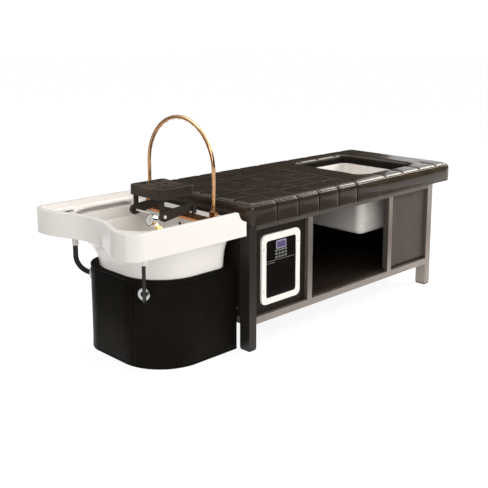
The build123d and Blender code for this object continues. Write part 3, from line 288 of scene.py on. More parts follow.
def painted(name, colour, other, low, high, metallic, stretch):
    """Painted or coated metal with a fine texture and rubbed edges."""
    material, tree, shader, place = start_material(name, colour, low, Metallic=metallic)
    two_tone(tree, shader, remap(tree, noise_field(tree, place, 0.09, 4), 0.35, 0.65), colour, other)
    streaks = noise_field(tree, place, 0.0035, 4, stretch)
    uneven_gloss(tree, shader, streaks, low, high, (0.25, 0.75))
    add_bump(tree, shader, streaks, 0.00015, 0.4)
    add_bump(tree, shader, noise_field(tree, place, 0.0009, 2), 0.00006, 0.35)
    worn_edge(tree, shader, [min(1, c * 1.9) for c in colour], 0.6)
    return material


def board(name, colour, other, low, high):
    """A laminate-faced board with a faint fibre grain."""
    material, tree, shader, place = start_material(name, colour, low)
    shader.inputs["Specular IOR Level"].default_value = 0.14
    fibres = noise_field(tree, place, 0.004, 5, (1, 1, 14))
    two_tone(tree, shader, remap(tree, fibres, 0.3, 0.7), colour, other)
    uneven_gloss(tree, shader, noise_field(tree, place, 0.06, 4), low, high)
    add_bump(tree, shader, fibres, 0.00012, 0.5)
    return material


def glossy(name, colour, other, low, high, size=0.05, coat=0.4, specular=0.5):
    """Moulded and glazed surfaces: a faint cloud in colour and gloss, and an orange peel."""
    material, tree, shader, place = start_material(name, colour, low)
    shader.inputs["Specular IOR Level"].default_value = specular
    shader.inputs["Coat Weight"].default_value = coat
    shader.inputs["Coat Roughness"].default_value = 0.06
    two_tone(tree, shader, remap(tree, noise_field(tree, place, size, 4), 0.35, 0.65), colour, other)
    uneven_gloss(tree, shader, noise_field(tree, place, size / 3, 4), low, high)
    add_bump(tree, shader, noise_field(tree, place, 0.012, 2), 0.00025, 0.25)
    return material


def moulded(name, colour, low, high, grain=0.0012, specular=0.25):
    """Moulded plastic or rubber with a spark-eroded grain."""
    material, tree, shader, place = start_material(name, colour, low)
    shader.inputs["Specular IOR Level"].default_value = specular
    two_tone(tree, shader, remap(tree, noise_field(tree, place, 0.03, 4), 0.3, 0.7), colour,
             [c * 1.5 for c in colour])
    uneven_gloss(tree, shader, noise_field(tree, place, 0.02, 5), low, high)
    add_bump(tree, shader, cell_field(tree, place, grain), 0.00012, 0.5)
    worn_edge(tree, shader, [min(1, c * 3 + 0.02) for c in colour], 0.5)
    return material


def screen(name, low_colour, high_colour):
    """A small lit display, paler towards its top."""
    material, tree, shader, place = start_material(name, low_colour, 0.2)
    low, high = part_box("control_display")
    split = tree.nodes.new("ShaderNodeSeparateXYZ")
    tree.links.new(place, split.inputs[0])
    cloud = noise_field(tree, place, 0.012, 3)
    height = tree.nodes.new("ShaderNodeMath")
    height.operation = "MULTIPLY_ADD"
    height.inputs[1].default_value = 0.004
    tree.links.new(cloud, height.inputs[0])
    tree.links.new(split.outputs["Z"], height.inputs[2])
    two_tone(tree, shader, remap(tree, height.outputs[0], low.z, high.z), low_colour, high_colour)
    add_bump(tree, shader, cell_field(tree, place, 0.0012), 0.00005, 0.2)
    return material


def braided(name, dark, pale, pitch):
    """A hose's woven cover: two sets of slanting strands that cross."""
    waves_per_metre = 3.15      # what a wave texture of scale 1 has
    material, tree, shader, place = start_material(name, dark, 0.45)
    shader.inputs["Specular IOR Level"].default_value = 0.3
    weave = None
    for slant in (1, -1):
        mapping = tree.nodes.new("ShaderNodeMapping")
        mapping.inputs["Rotation"].default_value = (0, math.radians(45 * slant), math.radians(30))
        tree.links.new(place, mapping.inputs["Vector"])
        strands = tree.nodes.new("ShaderNodeTexWave")
        strands.inputs["Scale"].default_value = 1 / (2 * pitch * waves_per_metre)
        strands.inputs["Distortion"].default_value = 0.4
        tree.links.new(mapping.outputs[0], strands.inputs["Vector"])
        if weave:
            higher = tree.nodes.new("ShaderNodeMath")
            higher.operation = "MULTIPLY"
            tree.links.new(weave, higher.inputs[0])
            tree.links.new(strands.outputs["Fac"], higher.inputs[1])
            weave = higher.outputs[0]
        else:
            weave = strands.outputs["Fac"]
    two_tone(tree, shader, remap(tree, weave, 0.05, 0.6), dark, pale)
    add_bump(tree, shader, weave, 0.0008, 0.8)
    return material


def plated(name, colour, other, low, high, stretch=(1, 1, 1)):
    """Bright metal with faint wipe marks."""
    material, tree, shader, place = start_material(name, colour, low, Metallic=1.0)
    two_tone(tree, shader, remap(tree, noise_field(tree, place, 0.02, 4), 0.35, 0.65), colour, other)
    uneven_gloss(tree, shader, noise_field(tree, place, 0.006, 5, stretch), low, high)
    add_bump(tree, shader, noise_field(tree, place, 0.003, 3, stretch), 0.00004, 0.4)
    return material


black_leather = leather("black_leather", (0.0175, 0.0122, 0.0080), (0.030, 0.0212, 0.0140),
                        0.26, 0.38, specular=0.16, coat=0.5)
drum_leather = leather("drum_leather", (0.0038, 0.0034, 0.0025), (0.006, 0.0053, 0.004),
                       0.38, 0.5, specular=0.07)
# A darker, duller copy of the leather for the opening's walls: painted shade in the recess.
well_shade_leather = leather("well_shade_leather", (0.0065, 0.005, 0.0038), (0.010, 0.0078, 0.006),
                       0.32, 0.44, specular=0.08)
# A near-black, dull copy of the leather for the bottoms of the channels: painted shade in the sewn creases.
channel_shade_leather = leather("channel_shade_leather", (0.002, 0.0016, 0.0012), (0.004, 0.003, 0.0022),
                       0.5, 0.62, specular=0.04)
# Pale thread: contrast stitching whose paleness also stands in for the highlight along the cushion's top
# edge, a painted highlight.
thread_and_highlight = moulded("thread_and_highlight", (0.15, 0.128, 0.108), 0.4, 0.55, grain=0.0006)
frame_paint = painted("frame_paint", (0.19, 0.168, 0.15), (0.24, 0.215, 0.192), 0.28, 0.42,
                      metallic=0.8, stretch=(14, 1, 1))
upright_paint = painted("upright_paint", (0.19, 0.168, 0.15), (0.24, 0.215, 0.192), 0.28, 0.42,
                        metallic=0.8, stretch=(1, 1, 14))
# A darker copy of the frame's paint for the top rails: painted shade, for the shadow under the cushion's
# overhang.
shaded_rail_paint = painted("shaded_rail_paint", (0.10, 0.087, 0.077), (0.135, 0.118, 0.104), 0.3, 0.44,
                     metallic=0.8, stretch=(14, 1, 1))
# A darker copy of the frame's paint for the head legs: painted shade, for the head end lying in shade.
shaded_leg_paint = painted("shaded_leg_paint", (0.014, 0.0125, 0.011), (0.022, 0.019, 0.017), 0.34, 0.5,
                     metallic=0.3, stretch=(1, 1, 14))
# The dark and the pale board are partly the panels' own tones and partly painted light and shade: the
# control panel's board darker towards the head end, the foot panel's paler towards the foot.
dark_board = board("dark_board", (0.0125, 0.009, 0.0068), (0.018, 0.013, 0.010), 0.42, 0.55)
pale_lit_board = board("pale_lit_board", (0.052, 0.044, 0.038), (0.068, 0.057, 0.049), 0.42, 0.55)
black_board = board("black_board", (0.006, 0.0055, 0.0045), (0.009, 0.008, 0.007), 0.5, 0.62)
plywood = board("plywood", (0.36, 0.25, 0.14), (0.47, 0.34, 0.20), 0.55, 0.7)
white_gloss = glossy("white_gloss", (0.815, 0.795, 0.77), (0.83, 0.81, 0.785), 0.16, 0.24,
                     size=0.12, coat=0.18, specular=0.3)
white_tub = glossy("white_tub", (0.735, 0.71, 0.685), (0.755, 0.73, 0.705), 0.2, 0.3, size=0.10, coat=0.3)
white_plastic = glossy("white_plastic", (0.80, 0.78, 0.75), (0.84, 0.82, 0.79), 0.25, 0.38, coat=0.2)
black_glass = glossy("black_glass", (0.005, 0.0045, 0.0035), (0.007, 0.0065, 0.0055),
                     0.06, 0.13, size=0.06, coat=0.0, specular=0.05)
black_plastic = moulded("black_plastic", (0.013, 0.011, 0.009), 0.34, 0.5, specular=0.12)
brown_plastic = moulded("brown_plastic", (0.020, 0.0145, 0.0105), 0.32, 0.46, specular=0.14)
black_rubber = moulded("black_rubber", (0.012, 0.012, 0.012), 0.5, 0.66, grain=0.0008)
grey_plastic = moulded("grey_plastic", (0.22, 0.22, 0.22), 0.4, 0.55)
screen_blue = screen("screen_blue", (0.052, 0.043, 0.125), (0.115, 0.098, 0.205))
screen_rim = glossy("screen_rim", (0.30, 0.27, 0.40), (0.36, 0.33, 0.46), 0.2, 0.32, size=0.01, coat=0.2)
key_print = glossy("key_print", (0.13, 0.135, 0.12), (0.20, 0.205, 0.185), 0.3, 0.42,
                   size=0.004, coat=0.1, specular=0.2)
line_print = glossy("line_print", (0.28, 0.26, 0.25), (0.34, 0.32, 0.31), 0.3, 0.4,
                    size=0.01, coat=0.0, specular=0.2)
hose_braid = braided("hose_braid", (0.010, 0.009, 0.008), (0.034, 0.028, 0.023), pitch=0.0032)
silicone = moulded("silicone", (0.018, 0.017, 0.016), 0.3, 0.42, grain=0.002, specular=0.3)
copper = plated("copper", (0.62, 0.345, 0.17), (0.72, 0.43, 0.235), 0.14, 0.26)
bar_copper = plated("bar_copper", (0.50, 0.20, 0.065), (0.62, 0.28, 0.10), 0.16, 0.3)
brass = plated("brass", (0.66, 0.42, 0.14), (0.76, 0.50, 0.19), 0.14, 0.26)
chrome = plated("chrome", (0.80, 0.80, 0.81), (0.87, 0.87, 0.87), 0.07, 0.16)
steel = plated("steel", (0.52, 0.52, 0.53), (0.62, 0.62, 0.63), 0.25, 0.4, stretch=(6, 1, 1))

# Each material and the CAD nodes that get it
finishes = (
    # the head legs get the darker copy of the frame paint, as painted shade
    (shaded_leg_paint, "leg_head_near leg_head_far"),
    (upright_paint, "leg_foot_near leg_foot_far posts_near posts_far"),
    (black_plastic, "leg_glides power_inlet neck_brackets neck_arms neck_struts"),
    # the top rails get the darker copy of the frame paint, as painted shade
    (shaded_rail_paint, "top_rail_near top_rail_far"),
    (frame_paint, "bottom_rail_near bottom_rail_far top_cross_rails bottom_cross_rails"),
    # the control panel's dark board is partly painted shade, the foot panel's pale board partly painted
    # light
    (dark_board, "shelf_board control_panel back_panels end_panels partition"),
    (pale_lit_board, "foot_panel"),
    (plywood, "cushion_board"),
    (white_tub, "foot_tub"),
    (chrome, "foot_drain basin_drain basin_strainer deck_cap shower_head"),
    (black_rubber, "foot_plug far_hose"),
    (white_plastic, "control_bezel water_tank waste_pipe hose_fittings neck_pin shower_face"),
    (black_glass, "control_glass"),
    (screen_blue, "control_display"),
    (key_print, "control_keys"),
    (grey_plastic, "control_box circulation_pump"),
    (steel, "steam_heater joint_bolts hose_grommets"),
    (black_board, "drum_shell drum_lid"),
    (hose_braid, "near_hose"),
    (white_gloss, "basin"),
    (bar_copper, "spray_bar"),
    (copper, "arch_mounts spray_arch arch_collars"),
    (brown_plastic, "neck_pad"),
    (brass, "shower_guide shower_stem"),
)
for material, node_names in finishes:
    for node_name in node_names.split():
        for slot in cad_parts[node_name].material_slots:
            slot.material = material


# Mesh helpers

def link_mesh(name, points, faces, material):
    """A smooth-shaded object of points in metres."""
    mesh = bpy.data.meshes.new(name)
    mesh.from_pydata(points, [], faces)
    mesh.update()
    piece = bpy.data.objects.new(name, mesh)
    scene.collection.objects.link(piece)
    mesh.materials.append(material)
    mesh.polygons.foreach_set("use_smooth", [True] * len(mesh.polygons))
    return piece


def surface_tree(mesh):
    """A search tree over a mesh's faces."""
    return BVHTree.FromPolygons([v.co for v in mesh.vertices], [p.vertices for p in mesh.polygons])


def add_loops(points, faces, loops, closed_ends):
    """Skin a list of equal rings of points, with a face on each end or the last joined to the first."""
    first, count = len(points), len(loops[0])
    for loop in loops:
        points.extend(loop)
    for k in range(len(loops) - 1):
        for n in range(count):
            m = (n + 1) % count
            a, b = first + k * count, first + (k + 1) * count
            faces.append((a + n, a + m, b + m, b + n))
    if closed_ends:
        faces.append(tuple(first + n for n in reversed(range(count))))
        faces.append(tuple(first + (len(loops) - 1) * count + n for n in range(count)))
    else:
        last = first + (len(loops) - 1) * count
        for n in range(count):
            m = (n + 1) % count
            faces.append((last + n, last + m, first + m, first + n))


def spread(marks, step):
    """Grid lines through every mark, no further apart than a step."""
    lines = []
    marks = sorted(set(marks))
    for low, high in zip(marks, marks[1:]):
        count = max(1, math.ceil((high - low) / step - 1e-6))
        lines += [low + (high - low) * i / count for i in range(count)]
    return lines + [marks[-1]]


def smooth_step(value):
    """0 below 0, 1 above 1, and an even slope between."""
    value = min(1.0, max(0.0, value))
    return value * value * (3 - 2 * value)


def bell(distance, width):
    """1 at no distance, and next to nothing from two widths on."""
    return math.exp(-(distance / width) ** 2)


# Cushion, in millimetres until it is linked

cushion_x = (-430.5, 1018.5)
cushion_half = 330.0
cushion_z = (525.0, 615.5)
plan_radius, edge_radius = 34.0, 30.0
well_x = (420.5, 820.5)
well_half, well_radius, well_edge = 215.0, 42.0, 26.0
full_channels = [-285.5, -153.5, -21.5, 110.5, 242.5]
border_channels = [466.5, 610.5, 754.5, 898.5]
rows = [-206.0, -103.0, 0.0, 103.0, 206.0]
quilt_end = 242.5
channel_end, end_slope = 12.0, 0.8      # channels grow shallow over their last millimetres
border_start = 6.0                      # how far outside the opening the border's channels start
nowhere = 1e3                           # the distance of a channel or seam that isn't there
on_face, on_edge = 1.0, 0.01            # a box point this close to a face or an edge is on it
grid_step = 9.0
channel_lines = (1.3, 2.8, 5.0, 9.0)    # grid lines beside a channel
rim_lines = (1.5, 3, 5.5, 9, 15, 22, 30, 38)
foot_lines = (0, 2, 6, 14, 23, 32, 41, 50)
top_lines = (edge_radius, 23, 16, 10, 6, 3, 1.5, 0)
well_rim_lines = (4, 9, 15, 22)
well_corner_lines = (10, 20, 31, 42)
well_blend, well_reach = 50.0, 100.0    # how far out the opening's round corners bend the grid


def around(centre, gaps):
    """Places at each gap on both sides of a centre."""
    return [centre + sign * gap for gap in gaps for sign in (-1, 1)]


def corner_offsets(x, y, ends, half, radius):
    """A rounded rectangle's sides nearest a point, and how far it is past the corner's centre."""
    middle, half_x = sum(ends) / 2, (ends[1] - ends[0]) / 2
    sides = math.copysign(1, x - middle), math.copysign(1, y)
    return sides, abs(x - middle) - (half_x - radius), abs(y) - (half - radius)


def corner_map(dx, dy):
    """A square corner's point moved into the round one, both from the corner's centre."""
    reach, length = max(dx, dy), math.hypot(dx, dy)
    return dx / length * reach, dy / length * reach


def corner_place(sides, ends, half, radius, mx, my):
    """The point a distance from a corner's centre, and the outward direction there."""
    middle, half_x = sum(ends) / 2, (ends[1] - ends[0]) / 2
    length = math.hypot(mx, my)
    normal = (sides[0] * mx / length, sides[1] * my / length)
    return normal, middle + sides[0] * (half_x - radius + mx), sides[1] * (half - radius + my)


def round_edge(x, y, z, normal, inside, radius):
    """A point that far inside a top edge, moved onto the edge's quarter circle."""
    out, up = radius - inside, z - (cushion_z[1] - radius)
    if out <= 0 or up <= 0:
        return x, y, z
    scale = radius / math.hypot(out, up)
    shift = out * scale - out
    return x + normal[0] * shift, y + normal[1] * shift, cushion_z[1] - radius + up * scale


def outer_place(x, y, z):
    """A box point on the couch's rounded outline and rounded top edge."""
    outline = (cushion_x, cushion_half, plan_radius)
    sides, dx, dy = corner_offsets(x, y, *outline)
    reach = max(dx, dy)
    if dx > 0 and dy > 0:
        normal, x, y = corner_place(sides, *outline, *corner_map(dx, dy))
    else:
        normal = (sides[0], 0.0) if dx > dy else (0.0, sides[1])
    return round_edge(x, y, z, normal, plan_radius - reach, edge_radius)


def well_place(x, y, z):
    """A point near the opening, on its round corners and its rounded edge."""
    outline = (well_x, well_half, well_radius)
    sides, dx, dy = corner_offsets(x, y, *outline)
    reach = max(dx, dy)
    if dx > 0 and dy > 0:
        mx, my = corner_map(dx, dy)
        near_edge = 1 - smooth_step((reach - well_radius) / well_blend)
        mx, my = dx + (mx - dx) * near_edge, dy + (my - dy) * near_edge
        reach = math.hypot(mx, my)
        normal, x, y = corner_place(sides, *outline, mx, my)
    else:
        normal = (sides[0], 0.0) if dx > dy else (0.0, sides[1])
    inward = (-normal[0], -normal[1])
    return round_edge(x, y, z, inward, reach - well_radius, well_edge)


def across_gap(x, y, z):
    """How far a box point is from the nearest channel across the couch."""
    gap = nowhere
    between_ends = min(x - cushion_x[0], cushion_x[1] - x) > on_face
    if between_ends and z > cushion_z[0] + on_face:
        gap = min(abs(x - line) for line in full_channels)
        if abs(y) > well_half + border_start and z > cushion_z[1] - on_face:
            fade = max(0.0, abs(y) - cushion_half + channel_end) * end_slope
            gap = min(gap, *(abs(x - line) + fade for line in border_channels))
    return gap


def along_gap(x, y, z):
    """How far a box point is from the nearest channel along the couch."""
    if x >= quilt_end or z <= cushion_z[1] - on_face:
        return nowhere
    fade = max(0.0, cushion_x[0] + channel_end - x) * end_slope
    return min(abs(y - line) + fade for line in rows)


def channel_gap(x, y, z):
    """How far a box point is from the nearest sewn channel."""
    return min(across_gap(x, y, z), along_gap(x, y, z))


def edge_gap(x, y, z):
    """How far a box point is from the seam round the top edge."""
    inset = min(x - cushion_x[0], cushion_x[1] - x, cushion_half - abs(y))
    if z > cushion_z[1] - on_edge:
        return inset
    return cushion_z[1] - z if inset < on_edge else nowhere


def cushion_lines():
    """The grid lines of the cushion's box, with more of them beside channels and edges."""
    x_marks = list(cushion_x) + list(well_x)
    x_marks += [cushion_x[0] + g for g in rim_lines] + [cushion_x[1] - g for g in rim_lines]
    x_marks += [well_x[0] - g for g in well_rim_lines] + [well_x[1] + g for g in well_rim_lines]
    x_marks += [well_x[0] + g for g in well_corner_lines] + [well_x[1] - g for g in well_corner_lines]
    for line in full_channels + border_channels:
        x_marks += [line] + around(line, channel_lines)
    y_marks = [-cushion_half, cushion_half, -well_half, well_half]
    for line in rows:
        y_marks += [line] + around(line, channel_lines)
    for side in (-1, 1):
        y_marks += [side * (cushion_half - g) for g in rim_lines]
        y_marks += [side * (well_half + g) for g in well_rim_lines]
        y_marks += [side * (well_half - g) for g in well_corner_lines[1:]]
    return (spread([round(m, 2) for m in x_marks], grid_step),
            spread([round(m, 2) for m in y_marks], grid_step),
            [cushion_z[0] + g for g in foot_lines] + [cushion_z[1] - g for g in top_lines])


def make_cushion():
    """The cushion at rest, and each point's place in the box and kind: the opening's wall or the skin."""
    x_lines, y_lines, z_lines = cushion_lines()
    w0, w1 = x_lines.index(well_x[0]), x_lines.index(well_x[1])
    v0, v1 = y_lines.index(-well_half), y_lines.index(well_half)
    last_x, last_y, last_z = len(x_lines) - 1, len(y_lines) - 1, len(z_lines) - 1
    index, points, box_points, kinds, faces = {}, [], [], [], []

    def vertex(i, j, k, well):
        key = (i, j, k)
        if key not in index:
            x, y, z = x_lines[i], y_lines[j], z_lines[k]
            place = outer_place(x, y, z)
            if well_x[0] - well_reach < x < well_x[1] + well_reach and abs(y) < well_half + well_reach:
                place = well_place(*place)
            index[key] = len(points)
            points.append([c * mm for c in place])
            box_points.append((x, y, z))
            kinds.append("well" if well and k < last_z else "skin")
        return index[key]

    def quad(corners, flip, well=False):
        face = [vertex(*corner, well) for corner in corners]
        faces.append(face[::-1] if flip else face)

    def wall(i, j, k, di, dj, flip, well=False):
        quad(((i, j, k), (i + di, j + dj, k), (i + di, j + dj, k + 1), (i, j, k + 1)), flip, well)

    for k, flip in ((last_z, False), (0, True)):
        for i in range(last_x):
            for j in range(last_y):
                if not (w0 <= i < w1 and v0 <= j < v1):
                    quad(((i, j, k), (i + 1, j, k), (i + 1, j + 1, k), (i, j + 1, k)), flip)
    for k in range(last_z):
        for i in range(last_x):
            wall(i, 0, k, 1, 0, False)
            wall(i, last_y, k, 1, 0, True)
        for j in range(last_y):
            wall(0, j, k, 0, 1, True)
            wall(last_x, j, k, 0, 1, False)
        for i in range(w0, w1):
            wall(i, v0, k, 1, 0, True, True)
            wall(i, v1, k, 1, 0, False, True)
        for j in range(v0, v1):
            wall(w0, j, k, 0, 1, False, True)
            wall(w1, j, k, 0, 1, True, True)
    return link_mesh("cushion", points, faces, black_leather), box_points, kinds


def dress(piece, box_points, kinds):
    """Paint shade into the bottoms of the sewn channels and onto the opening's walls, with darker, duller
    copies of the leather.
    """
    across_reach, along_reach = 2.9, 5.1
    piece.data.materials.append(channel_shade_leather)
    piece.data.materials.append(well_shade_leather)
    for face in piece.data.polygons:
        corners = [box_points[n] for n in face.vertices]
        # faces deep in a channel get the leather with painted shade
        if (all(across_gap(*p) < across_reach for p in corners)
                or all(along_gap(*p) < along_reach for p in corners)):
            face.material_index = 1
        # faces on the opening's walls get the leather with painted shade
        elif any(kinds[n] == "well" for n in face.vertices):
            face.material_index = 2


def move_along_normals(piece, amounts):
    """Move every point along its own normal by an amount in millimetres."""
    normals = [vertex.normal.copy() for vertex in piece.data.vertices]
    for vertex, normal, amount in zip(piece.data.vertices, normals, amounts):
        vertex.co += normal * (amount * mm)
    piece.data.update()


def puff(box_point, kind):
    """How far the filling lifts a point before the cloth is inflated."""
    height = box_point[2] - cushion_z[0]
    if kind == "well" or height < on_face:
        return 0.0
    gap = min(channel_gap(*box_point), 1.4 * edge_gap(*box_point) + 6)
    return 1.5 * smooth_step(gap / 20.0) * smooth_step(height / 30.0) - 0.6


def seam(box_point, kind):
    """How deep the sewn channels and the edge's seam pull a point in."""
    if kind == "well" or box_point[2] < cushion_z[0] + on_face:
        return 0.0
    gap, edge = channel_gap(*box_point), edge_gap(*box_point)
    channel = 4.6 * bell(gap, 2.1) + 0.9 * bell(gap, 6.0)
    piping = 1.9 * bell(edge, 1.7) - 0.7 * bell(edge - 6.0, 3.5)
    return -channel - piping


def inflate(piece, pinned, cap, pressure, frames=20):
    """Blow the cloth up with its pinned points held, no point by more than the cap's millimetres."""
    rest = [vertex.co.copy() for vertex in piece.data.vertices]
    group = piece.vertex_groups.new(name="pins")
    group.add(pinned, 1.0, "REPLACE")
    modifier = piece.modifiers.new("cloth", "CLOTH")
    settings = modifier.settings
    settings.quality = 4
    settings.mass = 0.3
    settings.tension_stiffness = settings.compression_stiffness = 12
    settings.bending_stiffness = 0.6
    settings.use_pressure = True
    settings.uniform_pressure_force = pressure
    settings.effector_weights.gravity = 0
    settings.vertex_group_mass = "pins"
    modifier.collision_settings.use_collision = False
    modifier.point_cache.frame_start = 1
    modifier.point_cache.frame_end = frames
    for step in range(1, frames + 1):
        scene.frame_set(step)
    blown = piece.evaluated_get(bpy.context.evaluated_depsgraph_get()).data
    moves = [after.co - before for after, before in zip(blown.vertices, rest)]
    piece.modifiers.remove(modifier)
    piece.vertex_groups.remove(group)
    for vertex, before, move in zip(piece.data.vertices, rest, moves):
        length = move.length
        vertex.co = before + move * min(1.0, cap * mm / length if length else 1.0)
    piece.data.update()
    scene.frame_set(1)


def bead(points, faces, place, along, out, size):
    """One stitch: a small closed bead that lies on the surface."""
    length, width, height = size
    side = out.cross(along).normalized()
    rings, sides, end_swell = 5, 6, 0.2
    loops = []
    for ring in range(rings):
        share = ring / (rings - 1) * 2 - 1
        swell = max(end_swell, math.sqrt(1 - share * share))
        angles = [2 * math.pi * step / sides for step in range(sides)]
        loops.append([place + along * (share * length / 2) + side * (math.cos(a) * width / 2 * swell)
                      + out * (math.sin(a) * height * swell + height * 0.4) for a in angles])
    add_loops(points, faces, loops, True)


def stitch_row(points, faces, tree, route, pitch, size):
    """Stitches along a route in metres, each laid on the surface below it."""
    travelled, due = 0.0, pitch / 2
    for start, end in zip(route, route[1:]):
        run = (end - start).length
        while travelled + run >= due:
            place = start.lerp(end, (due - travelled) / run)
            hit, normal, _, _ = tree.find_nearest(place)
            along = (end - start).normalized()
            along = (along - normal * along.dot(normal)).normalized()
            bead(points, faces, hit, along, normal, size)
            due += pitch
        travelled += run


def edge_route(inset, drop):
    """A line round the couch's top edge, at an inset on the top or a drop down the side."""
    route_step = 4.0
    x0, x1 = cushion_x[0] + inset, cushion_x[1] - inset
    half = cushion_half - inset
    z = cushion_z[1] - drop
    corners = [(x0, -half), (x1, -half), (x1, half), (x0, half), (x0, -half)]
    route = []
    for (xa, ya), (xb, yb) in zip(corners, corners[1:]):
        count = max(2, round(math.hypot(xb - xa, yb - ya) / route_step))
        for n in range(count):
            t = n / count
            place = outer_place(xa + (xb - xa) * t, ya + (yb - ya) * t, z)
            route.append(Vector(place) * mm)
    return route + route[:1]


def is_held(box_point, kind):
    """Whether the board, the opening's wall, a channel or the edge's seam holds a point."""
    board_reach, channel_reach, edge_reach = 8.0, 1.2, 0.5
    return (kind == "well" or box_point[2] < cushion_z[0] + board_reach
            or channel_gap(*box_point) < channel_reach or edge_gap(*box_point) < edge_reach)


cushion, cushion_box, cushion_kinds = make_cushion()
move_along_normals(cushion, [puff(p, k) for p, k in zip(cushion_box, cushion_kinds)])
held = [n for n, (p, k) in enumerate(zip(cushion_box, cushion_kinds)) if is_held(p, k)]
inflate(cushion, held, cap=2.6, pressure=4.0)
move_along_normals(cushion, [seam(p, k) for p, k in zip(cushion_box, cushion_kinds)])
dress(cushion, cushion_box, cushion_kinds)
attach(cushion, "bed")
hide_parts("bed_cushion")

seam_margin = 5.0
stitch_pitch, stitch_size = 0.0068, (0.0046, 0.0011, 0.0005)
skin = surface_tree(cushion.data)
points, faces = [], []
for inset, drop in ((seam_margin, 0.0), (0.0, seam_margin)):
    stitch_row(points, faces, skin, edge_route(inset, drop), stitch_pitch, stitch_size)
# the pale stitches also carry a painted highlight along the top edge
stitches = link_mesh("cushion_stitches", points, faces, thread_and_highlight)
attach(stitches, "bed")


# Leather sleeve of the drum

drum_x = (-862.5, -435.5)
drum_half, drum_top = 254.0, 355.0
near_radius, far_radius, bed_radius = 200.0, 130.0, 14.0
sleeve, skin_overlap = 4.0, 0.05        # the leather's thickness, and what keeps its back off the board
seam_angle = 194.0
hem_lines = (0, 1.5, 3, 4.5, 6, 8, 10, 12, 14, 17, 21)
outline_step = 5.0


def drum_outline(step):
    """Points and outward directions round the drum, a step apart, from its near bed corner."""
    corners = [(drum_x[1], -drum_half, bed_radius, 0), (drum_x[0], -drum_half, near_radius, -90),
               (drum_x[0], drum_half, far_radius, -180), (drum_x[1], drum_half, bed_radius, -270)]
    path = []
    for x, y, radius, first in corners:
        cx = x - math.copysign(radius, x - sum(drum_x) / 2)
        cy = y - math.copysign(radius, y)
        steps = max(4, math.ceil(radius * math.pi / 2 / step))
        for n in range(steps + 1):
            angle = math.radians(first - 90 * n / steps)
            out = Vector((math.cos(angle), math.sin(angle), 0))
            path.append((Vector((cx, cy, 0)) + out * radius, out))
    dense = []
    for (a, out_a), (b, out_b) in zip(path, path[1:] + path[:1]):
        count = max(1, round((b - a).length / step))
        for n in range(count):
            t = n / count
            dense.append((a.lerp(b, t), out_a.lerp(out_b, t).normalized()))
    return dense


def sleeve_offset(place, out, z):
    """How far the leather stands off the outline: hems, a sewn seam and slack between them."""
    slack = noise.noise(Vector((place.x * 0.011, place.y * 0.011, z * 0.006))) * 1.6
    fade = min(1.0, z / 24.0, (drum_top - z) / 16.0)
    angle = math.degrees(math.atan2(out.y, out.x)) % 360
    bow = 3.0 * (1 - (2 * z / drum_top - 1) ** 2)
    gap = (angle - seam_angle) / 180 * math.pi * near_radius + bow
    seam_dip = -4.0 * bell(gap, 3.6) + 0.7 * bell(abs(gap) - 9.0, 4.0)
    pipe = 1.5 * bell(z - (drum_top - 5), 3.2) + 0.9 * bell(z - 4, 3.5)
    fold = -1.3 * bell(z - (drum_top - 12), 2.0) - 1.0 * bell(z - 11, 2.0)
    return slack * fade + seam_dip * fade + pipe + fold


def make_sleeve():
    """The leather round the drum, closed by its hems and by a plain back."""
    outline = drum_outline(outline_step)
    heights = spread([float(m) for m in hem_lines] + [drum_top - m for m in hem_lines], grid_step)
    points, faces = [], []
    count = len(outline)
    for z in heights:
        for place, out in outline:
            points.append(place + out * sleeve_offset(place, out, z) + Vector((0, 0, z)))
    for z in (0, drum_top):
        for place, out in outline:
            points.append(place - out * (sleeve - skin_overlap) + Vector((0, 0, z)))
    levels = len(heights)
    low, high, last = levels * count, (levels + 1) * count, (levels - 1) * count
    for n in range(count):
        m = (n + 1) % count
        for k in range(levels - 1):
            faces.append((k * count + n, (k + 1) * count + n, (k + 1) * count + m, k * count + m))
        faces.append((low + n, n, m, low + m))
        faces.append((last + n, high + n, high + m, last + m))
        faces.append((high + n, low + n, low + m, high + m))
    return link_mesh("drum_sleeve", [p * mm for p in points], faces, drum_leather)


sleeve_piece = make_sleeve()
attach(sleeve_piece, "bed")
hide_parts("drum_leather")


# Small pieces: rings, plates and turned shapes

def plate_outline(width, height, radius, steps=6):
    """A rounded rectangle's points round its centre."""
    outline = []
    for sx, sy, first in ((1, 1, 0), (-1, 1, 90), (-1, -1, 180), (1, -1, 270)):
        for n in range(steps + 1):
            angle = math.radians(first + 90 * n / steps)
            outline.append((sx * (width / 2 - radius) + radius * math.cos(angle),
                            sy * (height / 2 - radius) + radius * math.sin(angle)))
    return outline


def on_plane(centre, across, up, outline, lift):
    """An outline in millimetres, laid on a plane and lifted off it, as points in metres."""
    out = across.cross(up)
    return [(centre + across * x + up * y + out * lift) * mm for x, y in outline]


def raised_ring(points, faces, centre, across, up, size, band, depth, radius):
    """A frame of a band's width, with softened edges, standing off a plane."""
    width, height = size
    soft = min(band, depth) * 0.3
    steps = ((0, 0), (0, depth - soft), (soft, depth), (band - soft, depth), (band, depth - soft), (band, 0))
    loops = []
    for inset, lift in steps:
        outline = plate_outline(width - 2 * inset, height - 2 * inset, max(0.2, radius - inset))
        loops.append(on_plane(centre, across, up, outline, lift))
    add_loops(points, faces, loops, False)


def raised_plate(points, faces, centre, across, up, size, depth, radius):
    """A thin plate with softened edges."""
    soft = depth * 0.35
    foot = plate_outline(size[0], size[1], radius)
    face = plate_outline(size[0] - 2 * soft, size[1] - 2 * soft, max(0.1, radius - soft))
    loops = [on_plane(centre, across, up, outline, lift)
             for outline, lift in ((foot, 0), (foot, depth - soft), (face, depth))]
    add_loops(points, faces, loops, True)


